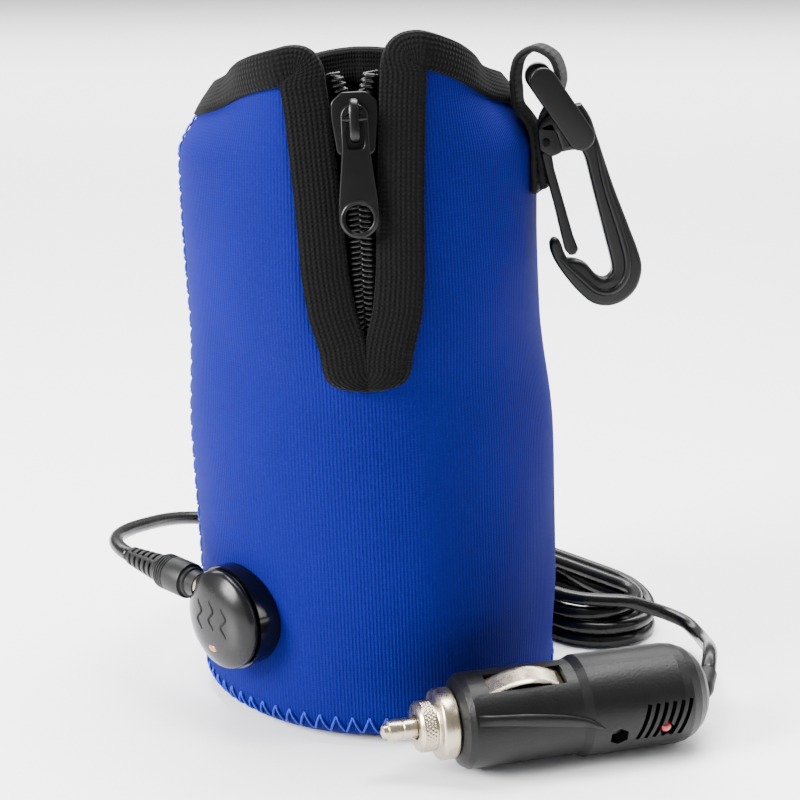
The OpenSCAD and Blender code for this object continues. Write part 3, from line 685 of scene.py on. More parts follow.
def arch_top(azimuth):
    """Height of the rim in the leaning frame."""
    x = RIM_R * np.sin(np.radians(azimuth))
    y = -RIM_R * np.cos(np.radians(azimuth))
    arch = ARCH_Z + np.sqrt(ARCH_R ** 2 - x ** 2) / math.cos(ARCH_TILT)
    arch = arch - (y - ARCH_FRONT) * math.tan(ARCH_TILT)
    across = np.abs((np.asarray(azimuth, float) + 180) % 360 - 180)
    sag = 2.6 * np.exp(-((np.asarray(azimuth) + 20) / 24) ** 2) + 1.2 * smooth((across - 110) / 50)
    return arch - sag + 3.2 * np.exp(-((across - 88) / 26) ** 2)


def slit_azimuth(z, side, cover):
    """Azimuth of the cloth's edge along the slit; cover is how far it stays back from the binding's lip."""
    s = slit_s(z)
    half = np.where(s > -1, lip_at(s) + cover, 0.0) * smooth((s + 2) / 4)
    at = lean_in(zip_world(np.stack([side * half, np.full_like(s, SKIN_Y), np.maximum(s, 0)], -1)))
    return np.degrees(np.arctan2(at[..., 0], -at[..., 1]))


def blend_lapel(piece):
    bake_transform(piece)


def sheet_grid(low_edge, high_edge, top_drop, rows, columns, inwards, bottom=0.0):
    """Grid of points between two edges given as functions of height, up to the rim."""
    grid, uv = [], []
    for j in range(columns + 1):
        t = j / columns
        azimuth = low_edge(bottom) * (1 - t) + high_edge(bottom) * t
        for _ in range(3):
            top = float(arch_top(azimuth)) - top_drop
            azimuth = low_edge(top) * (1 - t) + high_edge(top) * t
        heights = bottom + (top - bottom) * np.linspace(0, 1, rows + 1)
        azimuths = low_edge(heights) * (1 - t) + high_edge(heights) * t
        grid.append(skin(azimuths, heights, inwards))
        uv.append(np.stack([np.radians(azimuths) * SLEEVE_R * MM, heights * MM], -1))
    return np.array(grid), np.array(uv)


def shell_piece(name, outer, inner, uv):
    """Closed sheet with thickness from an outer and an inner grid."""
    columns, rows = outer.shape[:2]
    count = columns * rows
    points = np.vstack([outer.reshape(-1, 3), inner.reshape(-1, 3)])
    uvs = np.vstack([uv.reshape(-1, 2)] * 2)
    faces = []
    for i in range(columns - 1):
        for k in range(rows - 1):
            a, b = i * rows + k, (i + 1) * rows + k
            faces.append((a, b, b + 1, a + 1))
            faces.append((count + a, count + a + 1, count + b + 1, count + b))
    border = [i * rows for i in range(columns)] + [(columns - 1) * rows + k for k in range(1, rows)]
    border += [i * rows + rows - 1 for i in range(columns - 2, -1, -1)] + list(range(rows - 2, 0, -1))
    for a, b in zip(border, border[1:] + border[:1]):
        faces.append((a, count + a, count + b, b))
    piece = face_outwards(mesh_piece(name, points, faces, uvs))
    shade_by_angle(piece, 55)
    return piece


def constant(value):
    """A straight upright edge as a function of height."""
    return lambda z: np.full_like(np.asarray(z, float), value)


def edge_at(side, cover):
    """The slit's edge as a function of height."""
    return lambda z: slit_azimuth(z, side, cover)


def cloth_parts(prefix, inwards, thickness, cover, top_drop, rows, bottom=0.0):
    """Left, right and back parts of one layer of the sleeve."""
    edges = {
        "left": (constant(SIDE_SEAM), edge_at(-1, cover), 44),
        "right": (edge_at(1, cover), constant(BACK_SEAM), 48),
        "back": (constant(BACK_SEAM), constant(SIDE_SEAM + 360), 84)}
    parts = {}
    for place, (low, high, columns) in edges.items():
        outer, uv = sheet_grid(low, high, top_drop, rows, columns, inwards, bottom)
        inner, _ = sheet_grid(low, high, top_drop, rows, columns, inwards + thickness, bottom)
        parts[place] = shell_piece(f"{prefix}_{place}", outer, inner, uv)
    return parts


def build_sleeve():
    parts = cloth_parts("sleeve_cloth", 0.0, WALL_T, 3.0, 3.0, 110)
    nodes = {"left": ["lapel_left"], "right": ["lapel_right"], "back": ["sleeve_wall"]}
    for place, piece in parts.items():
        finish_piece(piece, JERSEY, "root" if place == "back" else None, nodes[place])
    for side, place in SIDES:
        blend_lapel(parts[place])


def area_of(piece):
    """Area of a mesh over all its faces, in square metres."""
    work = bmesh.new()
    work.from_mesh(piece.data)
    area = sum(face.calc_area() for face in work.faces)
    work.free()
    return area


def build_lining():
    parts = cloth_parts("lining_cloth", WALL_T + 0.7, LINING_T, 3.0, 3.0, 70, bottom=8.0)
    nodes = {"left": ["lapel_lining_left"], "right": ["lapel_lining_right"], "back": ["inner_lining"]}
    for place, piece in parts.items():
        finish_piece(piece, LINING, "root" if place == "back" else None, nodes[place])
        one_face = area_of(piece) / 2
    for side, place in SIDES:
        blend_lapel(parts[place])


def build_base():
    """Base disc with a rounded, slightly puffed edge, under the turned-in wall."""
    profile = [[0, 3.2], [30, 3.2], [36.2, 3.6], [38.2, 5.2], [38.0, 2.6], [36.4, 0.9], [34.6, 0.3],
               [32, 0], [0, 0]]
    base = lathe("sleeve_base_cloth", spline(profile, 1.2), np.eye(4), 120)
    layer = base.data.uv_layers.new(name="cloth")
    for loop in base.data.loops:
        co = base.data.vertices[loop.vertex_index].co
        layer.data[loop.index].uv = (co.x, co.y)
    finish_piece(base, JERSEY, "root", ["sleeve_base"])
    pad_profile = [[0, 5.6], [34, 5.5], [36, 5.1], [36.6, 4.3], [36, 3.5], [0, 3.4]]
    pad = lathe("base_pad_cloth", spline(pad_profile, 1.2), np.eye(4), 96)
    finish_piece(pad, LINING, "root", ["base_pad"])


build_sleeve()
build_lining()
build_base()

# ---------------------------------------------------------------- bindings


def edge_path(side):
    """One side of the front opening in (azimuth, height): the run up the slit and the run along the rim."""
    heights = np.linspace(slit_base(), 158, 200)
    slit = np.stack([slit_azimuth(heights, side, 0.0), heights], 1)
    top = np.array([arch_top(a) for a in slit[:, 0]])
    slit = slit[slit[:, 1] < top]
    limit = SIDE_SEAM if side < 0 else BACK_SEAM
    rim_azimuths = np.linspace(slit[-1, 0], limit, 160)
    rim = np.stack([rim_azimuths, arch_top(rim_azimuths)], 1)
    return slit, rim


def slit_base():
    return float(lean_in(zip_world([0, 0, -1.0]))[2])


DEG = math.radians(1) * 38          # millimetres of cloth per degree near the rim


def rounded_corner(slit, rim, radius):
    """Join the two runs with an arc-like turn in the plane of the laid-out cloth."""
    flat = np.vstack([slit, rim]) * [DEG, 1]
    corner = slit[-1] * [DEG, 1]
    far = np.linalg.norm(flat - corner, axis=1)
    index = len(slit) - 1
    before = np.where(far[:index] > radius)[0][-1]
    after = index + np.where(far[index:] > radius)[0][0]
    p, q = flat[before], flat[after]
    t = np.linspace(0, 1, 24)[:, None]
    bend = (1 - t) ** 2 * p + 2 * t * (1 - t) * corner + t ** 2 * q
    return np.vstack([flat[:before], bend, flat[after + 1:]])


def band_section(width, proud, near, far):
    """Section of a binding as (distance from the lip, height above the cloth's face), outside to inside.

    Behind the face it is near deep at the fold and, past the zip's coil, far deep.
    """
    outside = []
    for a in np.linspace(0, 1, 9):
        puff = math.sin(math.pi * (0.12 + 0.76 * a)) ** 0.7
        outside.append((width * (1 - a), proud * (0.55 + 0.75 * puff)))
    top = outside[-1][1]
    half = (top + near) / 2
    turns = np.linspace(0.3, math.pi - 0.3, 7)
    nose = [(-1.1 * math.sin(a), top - half + half * math.cos(a)) for a in turns]
    inside = [(0.6, -near), (COIL_HALF, -near), (COIL_HALF + 0.1, -far), (0.8 * width, -far)]
    return np.array([(width + 0.05, -0.3), (width + 0.05, proud * 0.3)] + outside + nose + inside)


def binding_piece(name, flat, width, proud, near, far, side):
    """Sweep the band along an edge given in laid-out millimetres."""
    flat = even(flat, 1.0)
    along = unit(np.gradient(flat, axis=0))
    inwards = np.stack([along[:, 1], -along[:, 0]], 1) * side
    run = run_of(flat)
    rings, uvs = [], []
    for i in range(len(flat)):
        section = band_section(width[i], proud[i], near[i], far[i])
        place = flat[i] + np.outer(section[:, 0], inwards[i])
        azimuth, z = place[:, 0] / DEG, place[:, 1]
        points = skin(azimuth, z) + skin_normal(azimuth, z) * section[:, 1:2]
        rings.append(points)
        uvs.append(np.stack([run_of(points) * MM, np.full(len(points), run[i] * MM)], 1))
    return loft(name, rings, uvs=uvs)


def build_front_bindings():
    for side, name in SIDES:
        slit, rim = edge_path(side)
        flat = even(rounded_corner(slit, rim, 7.5), 1.0)
        run = run_of(flat)
        ending = np.clip(1 - ((6 - run) / 6.2) ** 3, 0.02, 1) ** 0.5
        corner = np.linalg.norm(np.diff(slit * [DEG, 1], axis=0), axis=1).sum()
        on_rim = smooth((run - corner + 8.5) / 8)
        width = (BAND_W - (BAND_W - RIM_BAND_W) * on_rim) * np.where(run < 6, ending, 1)
        piece = binding_piece(f"binding_{name}", flat, width, 1.35 - 0.25 * on_rim, 0.6 + 3.8 * on_rim,
                              2.7 + 2.1 * on_rim, side)
        nodes = [f"rim_binding_{name}", f"slit_binding_{name}"]
        finish_piece(piece, KNIT, None, nodes)
        blend_lapel(piece)


def build_back_binding():
    azimuths = np.linspace(BACK_SEAM, SIDE_SEAM + 360, 220)
    flat = even(np.stack([azimuths * DEG, arch_top(azimuths)], 1), 1.0)
    count = len(flat)
    piece = binding_piece("binding_back", flat, np.full(count, RIM_BAND_W), np.full(count, 1.1),
                          np.full(count, 4.4), np.full(count, 4.8), 1)
    finish_piece(piece, KNIT, "root", ["rim_binding"])


def build_slit_end():
    """Small patch of the same knit under the ends of the two bindings."""
    rings, uvs = [], []
    low = slit_base() - 0.6
    centre = float(slit_azimuth(np.array([slit_base()]), 1, 0.0)[0])
    for t in np.linspace(0, 1, 16):
        z = low + 7.6 * t
        half = 5.4 * math.sqrt(max(1 - (1 - t) ** 2.4, 0.02))
        across = np.concatenate([np.linspace(-1, 1, 15), np.linspace(1, -1, 15)])
        height = np.concatenate([0.85 * (1 - np.linspace(-1, 1, 15) ** 6), np.full(15, -0.4)])
        height[:15] *= min(1, 0.4 + 3 * t)
        azimuth = centre + half * across / DEG * 0.9
        heights = np.full(30, z)
        rings.append(skin(azimuth, heights) + skin_normal(azimuth, heights) * height[:, None])
        uvs.append(np.stack([half * across * MM, heights * MM], 1))
    patch = loft("binding_end_patch", rings, uvs=uvs)
    finish_piece(patch, KNIT, "root", ["binding_point"])


build_front_bindings()
build_back_binding()
build_slit_end()

# ---------------------------------------------------------------- the zip

SLIDER_S = 54.6
SLIDER_LEN = 13.0
COIL_START = 5.3
COIL_LEN = ZIP_LEN - 6.3
COIL_PITCH = 1.15
TAPE_W = 7.0
COIL_PATH = np.array([[COIL_START, 0.08], [SLIDER_S - 6.5, 0.08], [SLIDER_S + 5.5, 1.2], [ZIP_LEN - 1, 2.8]])


def build_coils():
    for side, name in SIDES:
        turns = COIL_LEN / COIL_PITCH
        t = np.linspace(0, 1, int(turns * 14))
        s = COIL_START + t * COIL_LEN
        a = 2 * np.pi * turns * t + (math.pi if side > 0 else 0)
        inner = np.interp(s, COIL_PATH[:, 0], COIL_PATH[:, 1])
        x = side * (inner + 1.15 - 1.55 * np.cos(a) * 0.95)
        y = 0.78 * np.sin(a)
        coil = tube(f"zip_coil_{name}_turns", zip_world(np.stack([x, y, s], 1)), 0.4, 6)
        finish_piece(coil, COIL, None, [f"zip_coil_{name}"])
        blend_lapel(coil)
        centre = np.stack([side * (inner + 1.6), np.full_like(s, 0.1), s], 1)[::10]
        core = tube(f"zip_core_{name}", zip_world(centre), 0.5, 8)
        finish_piece(core, TAPE)
        blend_lapel(core)


def build_tapes():
    for side, name in SIDES:
        s = np.linspace(COIL_START, ZIP_LEN - 1, 60)
        inner = np.interp(s, COIL_PATH[:, 0], COIL_PATH[:, 1]) + 0.4
        rings, uvs = [], []
        for si, xi in zip(s, inner):
            x = np.concatenate([np.linspace(xi, xi + TAPE_W, 9), np.linspace(xi + TAPE_W, xi, 9)])
            y = np.repeat([1.05, 1.5], 9)
            rings.append(zip_world(np.stack([side * x, y, np.full(18, si)], 1)))
            uvs.append(np.stack([x * MM, np.full(18, si * MM)], 1))
        tape = loft(f"zip_tape_{name}_weave", rings, uvs=uvs)
        finish_piece(tape, TAPE, None, [f"zip_tape_{name}"])
        blend_lapel(tape)


def zip_matrix(s, x=0.0, y=0.0, z=0.0):
    """Frame on the zip with its x across, y up the slit and z out of the cloth."""
    local = np.array([[1, 0, 0], [0, 0, -1], [0, 1, 0]], float)
    return matrix_of(zip_world([x, y, s + z]), ZIP_TURN @ local)


def build_slider():
    half = SLIDER_LEN / 2
    outline = [[-3.9, -half], [3.9, -half], [4.85, 1], [4.85, 4.5], [2.6, half], [-2.6, half],
               [-4.85, 4.5], [-4.85, 1]]
    body = rounded(outline, 1.6)
    top = slab("slider_top", body, 1.1, 0.4, zip_matrix(SLIDER_S, y=-2.15))
    bottom = slab("slider_bottom", body, 1.0, 0.3, zip_matrix(SLIDER_S, y=2.7))
    wedge = rounded([[-0.85, 2.8], [0.85, 2.8], [0.85, 6], [-0.85, 6]], 0.4)
    post = slab("slider_post", wedge, 4.2, 0.2, zip_matrix(SLIDER_S, y=0.2))
    lips = []
    for i, x in enumerate((-4.5, 4.5)):
        lip = rounded([[x - 0.3, 0.8], [x + 0.3, 0.8], [x + 0.3, 4.6], [x - 0.3, 4.6]], 0.2)
        lips.append(slab(f"slider_lip_{i}", lip, 2.4, 0.15, zip_matrix(SLIDER_S, y=-0.9)))
    bridge_path = spline([[0, -2.4, -3.3], [0, -4.4, -3.4], [0, -5.6, -2.2], [0, -5.8, 0.4], [0, -5.6, 3],
                          [0, -4.4, 4.5], [0, -2.4, 4.4]], 0.4)
    section = np.array([[-0.95, -0.3], [-0.95, 0.25], [-0.6, 0.5], [0.6, 0.5], [0.95, 0.25], [0.95, -0.3],
                        [0.6, -0.5], [-0.6, -0.5]])
    rings = []
    for p, t in zip(bridge_path, unit(np.gradient(bridge_path, axis=0))):
        out = np.cross([1.0, 0, 0], t)
        rings.append(p + np.outer(section[:, 0], [1, 0, 0]) + np.outer(section[:, 1], out))
    bridge = loft("slider_bridge", zip_world(np.array(rings) + [0, 0, SLIDER_S]))
    piece = joined("slider", [top, bottom, post, *lips, bridge])
    finish_piece(piece, ENAMEL, "slider", ["slider_body"], sharp=40)


PULL_LEN = 25.6
PULL_AT = [0, -4.1, SLIDER_S + 1]   # the pull's hinge in the zip's frame


def build_pull():
    """Pull tab: a bar at the bridge, a waisted plate with a window, and an eye with a raised border."""
    eye_z = -PULL_LEN + 5.1
    outline = np.vstack([arc(0, 0.2, 2.9, 170, 10, 9), [[2.9, -6.5], [4.0, -16.5]],
                         arc(0, eye_z, 4.1, 0, -180, 25), [[-4.0, -16.5], [-2.9, -6.5]]])
    window = rounded([[-1.8, -6.2], [1.8, -6.2], [1.6, 0.9], [-1.6, 0.9]], 1.0)
    eye = arc(0, eye_z, 2.95, 0, 350, 36)
    plate = slab("pull_plate", outline, 1.3, 0.35, zip_matrix(SLIDER_S, y=-4.1, z=1), [window, eye])
    ring = arc(0, eye_z, 3.5, 0, 352.5, 48)
    border = np.array([[x, -0.65, z] for x, z in [*ring, ring[0]]])
    rim = tube("pull_rim", zip_world(border + PULL_AT), 0.3, 8)
    hinge = np.array([[x, 0, 0] for x in (-2.6, -1, 1, 2.6)])
    bar = tube("pull_bar", zip_world(hinge + PULL_AT), 0.75, 16)
    piece = joined("pull_tab_plate", [plate, rim, bar])
    finish_piece(piece, ENAMEL, "puller", ["pull_tab"], sharp=40)


build_coils()
build_tapes()
build_slider()
build_pull()

# ---------------------------------------------------------------- stitched seams


STITCH_R = 0.3
BASE_STITCH_Z = (2.4, 6.8)
BASE_STITCH_PITCH = 3.8
SIDE_STITCHES_AT = -88.0            # azimuth of the side seam's stitches, and how far they go to each side
SIDE_STITCH_HALF = 3.0
SIDE_STITCH_STEP = 2.0


def stitch(start, end, lift):
    """Rings of one thread, bowed off the cloth between two (azimuth, height) points."""
    t = np.linspace(0, 1, 6)
    azimuth = start[0] + (end[0] - start[0]) * t
    z = start[1] + (end[1] - start[1]) * t
    path = skin(azimuth, z) + skin_normal(azimuth, z) * (lift * np.sin(np.pi * t) ** 0.5)[:, None]
    return tube_rings(path, STITCH_R, 6)


def thread_piece(name, threads, replaces):
    """One mesh of many short threads, each a closed tube."""
    rings = np.array(threads)
    count, rows, sides = rings.shape[:3]
    faces = []
    for n in range(count):
        base = n * rows * sides
        for i in range(rows - 1):
            for k in range(sides):
                m = (k + 1) % sides
                faces.append((base + i * sides + k, base + i * sides + m, base + (i + 1) * sides + m,
                              base + (i + 1) * sides + k))
        faces.append(tuple(base + k for k in range(sides)))
        faces.append(tuple(base + (rows - 1) * sides + k for k in range(sides - 1, -1, -1)))
    piece = face_outwards(mesh_piece(name, rings.reshape(-1, 3), faces))
    return finish_piece(piece, THREAD, "root", replaces)


def build_seams():
    """Zigzag seams: once round the base, and up the side that the controller is on."""
    count = 2 * int(2 * math.pi * SLEEVE_R / BASE_STITCH_PITCH)
    threads = []
    for i in range(count):
        low, high = BASE_STITCH_Z if i % 2 == 0 else BASE_STITCH_Z[::-1]
        threads.append(stitch((360 * i / count, low), (360 * (i + 1) / count, high), 0.4))
    thread_piece("base_seam_stitches", threads, ["base_seam_thread"])
    threads = []
    for i, z in enumerate(np.arange(12, 138, SIDE_STITCH_STEP)):
        half = SIDE_STITCH_HALF if i % 2 == 0 else -SIDE_STITCH_HALF
        start = (SIDE_STITCHES_AT - half, z)
        end = (SIDE_STITCHES_AT + half, z + SIDE_STITCH_STEP)
        threads.append(stitch(start, end, 0.35))
    thread_piece("side_seam_stitches", threads, ["side_seam_thread"])


build_seams()

# ---------------------------------------------------------------- webbing, link and hook

STRAP_TURN = 16.5
STRAP_W = 9.0
STRAP_T = 1.5
TAIL_FACE = 43.8                    # distance of the outer tail's face from the axis
TAIL_STITCH_ROWS = (121.5, 124.0)   # heights of the two rows of stitches
TAIL_THREAD_R = 0.18


def build_webbing():
    """A folded loop of webbing, its tails stitched to the sleeve."""
    azimuth = 90 - STRAP_TURN
    tail = []
    for z in (119.5, 125, 130, 134.5, 138.5):
        over_binding = 1.0 if z > 134 else 0.0
        tail.append([float(skin_radius(azimuth, z)) + 0.9 + over_binding, z])
    line = tail + [[36.9, 142.4], [36.9, 146.2], [38.4, 149.6], [41.6, 151], [44.8, 149.6], [46.6, 146.6],
                  [46.8, 143], [45.4, 139.6], [43.2, 136.4], [42.4, 131.5], [43.0, 126], [43.2, 120.5]]
    path = spline(line, 0.7)
    along = unit(np.gradient(path, axis=0))
    normal = np.stack([-along[:, 1], along[:, 0]], 1)
    run = run_of(path)
    turned = turn("Z", -STRAP_TURN)
    y, out = strip_section(9, STRAP_W / 2, STRAP_T / 2, 0.55)
    rings, uvs = [], []
    for p, n, r in zip(path, normal, run):
        wave = 0.12 * math.sin(r * 1.3)
        x = p[0] + n[0] * (out + wave * 0.4)
        z = p[1] + n[1] * (out + wave * 0.4)
        ring = np.stack([x, y * (1 + 0.012 * math.sin(r * 2.1)), z], 1)
        rings.append(lean_out(ring @ turned.T))
        uvs.append(np.stack([y * MM, np.full(18, r * MM)], 1))
    strap = loft("webbing_strap", rings, uvs=uvs)
    finish_piece(strap, WEBBING, "root", ["webbing_loop"])
    threads = []
    for z in TAIL_STITCH_ROWS:
        for k in range(5):
            y0 = -3.4 + 1.5 * k
            t = np.linspace(0, 1, 5)
            pts = np.stack([TAIL_FACE + 0.12 * np.sin(np.pi * t), y0 + 1.1 * t, np.full(5, z)], 1)
            threads.append(tube_rings(lean_out(pts @ turned.T), TAIL_THREAD_R, 6))
    stitches = thread_piece("webbing_stitches", threads, [])
    stitches.data.materials.clear()
    stitches.data.materials.append(WEBBING)


HOOK_HEAD = np.array([41.5, -15.4, 135.3])
HOOK_LEAN = 15.7
HOOK_SIZE = 45.6 / 47.4
HOOK_T = 4.6
LINK_Y = -12.0
BAR_TOP = np.array([35.5, 145.6])
GATE_PIVOT = np.array([-5.8, 1.6])
HOOK_EYE = (2, 2.3)


def hook_matrix(y=0.0):
    """Frame in the hook's plane: x across, y up its length, z towards the camera."""
    rotation = turn("Y", -HOOK_LEAN) @ turn("X", 90)
    return matrix_of(HOOK_HEAD + [0, y, 0], rotation)


def hook_outline(points):
    """Outline drawn as (across, down) from the hook's head, brought to size with y up."""
    p = np.asarray(points, float) * HOOK_SIZE
    return np.stack([p[:, 0], -p[:, 1]], 1)


def hook_point(across, down):
    return placed([across * HOOK_SIZE, -down * HOOK_SIZE, 0], hook_matrix())


def build_hook():
    outside = spline([[4.2, -4.6], [5.4, -1], [5.8, 4], [6.6, 14.7], [7.7, 24], [8.6, 32], [8.4, 36],
                      [6.4, 39.8], [3, 42.1], [-1, 42.5], [-4.6, 40.8], [-7.4, 36.8], [-9.8, 31.4],
                      [-10.9, 27.4], [-10.7, 24.6], [-9.5, 23.7], [-8.3, 24.6], [-8.0, 27.2]], 0.7)
    inside = spline([[-7.6, 29.2], [-5.6, 30], [-3.7, 31.6], [-2.2, 34.6], [-0.6, 35.9], [1.0, 35.4],
                     [1.9, 33.2], [1.95, 25], [1.95, 15], [1.95, 7.4], [1.2, 5.6], [-0.6, 5.0],
                     [-3, 4.8]], 0.7)
    head = np.array([[-3.2, 0.6], [-4.6, 0.1], [-7.2, -0.9], [-6.1, -3.1], [-3.5, -4.2], [0.5, -5.0]])
    outline = np.vstack([outside, inside, head])
    eye = hook_outline(arc(*HOOK_EYE, 1.62, 0, 345, 24))
    body = slab("hook_frame", hook_outline(outline), HOOK_T, 0.95, hook_matrix(), [eye], rounds=5)
    rib_path = [[5.2, 4.5], [4.9, 15], [5.6, 26], [5.6, 33], [4.0, 37.2], [0.6, 39.2], [-2.8, 38.2],
                [-5.4, 34.6], [-7.6, 31.2], [-9.2, 28.4]]
    ribs = []
    for face in (-1, 1):
        line = spline(np.array([[*p, 0.0] for p in rib_path]), 0.8) * [HOOK_SIZE, -HOOK_SIZE, 1]
        width = 0.95 * np.sin(np.linspace(0.15, math.pi - 0.15, len(line))) ** 0.35
        rings = tube_rings(placed(line + [0, 0, face * (HOOK_T / 2 - 0.28)], hook_matrix()), width, 10)
        ribs.append(loft(f"hook_rib_{face}", rings))
    cheek = rounded(hook_outline([[-6.9, -2], [-3, -2.6], [-2.4, 4.8], [-5.4, 5.2], [-7.6, 3]]), 1.3)
    cheeks = [slab(f"hook_cheek_{face}", cheek, 1.0, 0.35, hook_matrix(y=face * (HOOK_T / 2 - 0.5)))
              for face in (-1, 1)]
    piece = joined("hook", [body, *ribs, *cheeks])
    finish_piece(piece, ACETAL, "hook", ["hook_body"], sharp=45)


def build_gate():
    m = hook_matrix()
    outline = hook_outline([[-7.5, 3.4], [-5.0, 3.4], [-5.4, 8], [-5.2, 16], [-5.0, 24], [-4.6, 27.6],
                            [-5.6, 28.6], [-6.9, 28.5], [-7.7, 27], [-7.5, 16], [-7.6, 8]])
    blade = slab("gate_blade", rounded(outline, 0.9), 4.0, 0.6, m, rounds=4)
    pin_hole = hook_outline(arc(*GATE_PIVOT, 1.07, 0, 345, 24))
    knuckle = slab("gate_knuckle", hook_outline(arc(*GATE_PIVOT, 1.65, 0, 352, 28)), 2.0, 0.2, m, [pin_hole])
    neck = slab("gate_neck", hook_outline([[-7.2, 2.4], [-4.8, 3.0], [-5.2, 5.2], [-7.4, 5.2]]), 2.0, 0.2, m)
    piece = joined("hook_gate_blade", [blade, knuckle, neck])
    finish_piece(piece, ACETAL, "gate", ["hook_gate"], sharp=40)


def build_link():
    low = hook_point(*HOOK_EYE)
    bar_low = np.array([low[0], low[2]])
    along = unit(bar_low - BAR_TOP)
    angle = math.degrees(math.atan2(along[1], along[0]))
    length = float(np.linalg.norm(bar_low - BAR_TOP))
    outline = np.vstack([arc(0, 0, 3.0, 90, 270, 15), arc(length, 0, 3.0, -90, 90, 15)])
    rotation = turn("X", 90) @ turn("Z", angle)
    plates = []
    for i, y in enumerate((-7.1, 7.1)):
        m = matrix_of([BAR_TOP[0], LINK_Y + y, BAR_TOP[1]], rotation)
        plates.append(slab(f"link_plate_{i}", outline, 2.2, 0.55, m, rounds=4))
    bars = []
    for i, p in enumerate((BAR_TOP, bar_low)):
        ends = np.array([[p[0], LINK_Y + y, p[1]] for y in (-7, -3, 3, 7)])
        bars.append(tube(f"link_bar_{i}", ends, 1.5, 24))
    piece = joined("link", plates + bars)
    finish_piece(piece, ACETAL, "link", ["hook_link"], sharp=40)


build_webbing()
build_hook()
build_gate()
build_link()

# ---------------------------------------------------------------- controller and DC plug

BOX_ANGLE = 46.0
BOX_Z = 26.8
BOX_R = 11.9
COVER_R = 11.5
COVER_TOP = 9.0
LIGHT_Y = -6.2                      # middle of the oval light, and its half sizes
LIGHT_HALF = (1.35, 0.85)
JACK_Y = 5.4
JACK_Z = 4.65
PLUG_R = 4.2
MARK_PITCH = 4.2                    # the heat sign's three waves
MARK_WAVE = 0.75
MARK_STROKE_R = 0.34


def box_matrix():
    a = math.radians(BOX_ANGLE)
    centre = [-BOX_Z * math.tan(LEAN) - SLEEVE_R * math.sin(a), -SLEEVE_R * math.cos(a), BOX_Z]
    rotation = np.array([[math.cos(a), 0, -math.sin(a)], [-math.sin(a), 0, -math.cos(a)], [0, 1, 0]])
    return matrix_of(centre, rotation)


BOX = box_matrix()


def dome_height(r):
    """Height of the cover's face at a distance from its middle."""
    return COVER_TOP - 2.6 * np.clip(r / COVER_R, 0, 1) ** 3.2 - 0.25 * (r / COVER_R) ** 2


def build_dome():
    """Domed cover of the controller and its oval light."""
    profile = [[r, float(dome_height(r))] for r in np.linspace(0, COVER_R - 0.35, 26)]
    profile += [[COVER_R - 0.1, 5.9], [COVER_R, 5.5], [COVER_R, 4.9], [COVER_R - 0.2, 4.55],
                [COVER_R - 0.8, 4.4], [0, 4.4]]
    dome = lathe("box_dome", profile, BOX, 96)
    finish_piece(dome, SATIN, "root", ["controller_cover"], sharp=40)
    grid = []
    for t in np.linspace(0.02, math.pi / 2, 8):
        a = np.linspace(0, 2 * math.pi, 25)[:-1]
        x = LIGHT_HALF[0] * math.sin(t) * np.cos(a)
        y = LIGHT_Y + LIGHT_HALF[1] * math.sin(t) * np.sin(a)
        z = dome_height(np.hypot(x, y)) - 0.12 + 0.45 * math.cos(t)
        grid.append(placed(np.stack([x, y, z], 1), BOX))
    floor = grid[-1] - 0.8 * BOX[:3, 2]
    light = loft("box_light", grid + [floor])
    finish_piece(light, AMBER, "root", ["indicator_led"])


def build_heat_mark():
    """Generic heat symbol: three upright wavy grooves on the dome, drawn as raised matte strips painted
    darker as the grooves' shade.
    """
    strokes = []
    for i, x in enumerate((-MARK_PITCH, 0.0, MARK_PITCH)):
        t = np.linspace(-1, 1, 40)
        lift = 1.4 if x == 0 else 0.6
        px = x + MARK_WAVE * np.sin(t * math.pi * 1.5)
        py = lift + 3.4 * t + 0.4
        pz = dome_height(np.hypot(px, py)) - 0.08
        path = placed(np.stack([px, py, pz], 1), BOX)
        radius = MARK_STROKE_R * np.sin(np.linspace(0.25, math.pi - 0.25, 40)) ** 0.4
        strokes.append(tube(f"heat_stroke_{i}", path, radius, 8))
    mark = joined("heat_mark", strokes)
    finish_piece(mark, GROOVE_SHADE, "root")


def smooth_node(name, material, width=0.0):
    """CAD node with a better material and, where asked, softened edges."""
    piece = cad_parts[name]
    for slot in piece.material_slots:
        slot.material = material
    if not piece.material_slots:
        piece.data.materials.append(material)
    if width:
        bevel = piece.modifiers.new("soft edges", "BEVEL")
        bevel.width = width * MM
        bevel.segments = 2
        bevel.limit_method = "ANGLE"
        bevel.angle_limit = math.radians(40)
    return piece


def plug_matrix():
    rotation = BOX[:3, :3] @ turn("Y", -90)
    return matrix_of(placed([[-BOX_R + 1.1, JACK_Y, JACK_Z]], BOX)[0], rotation)


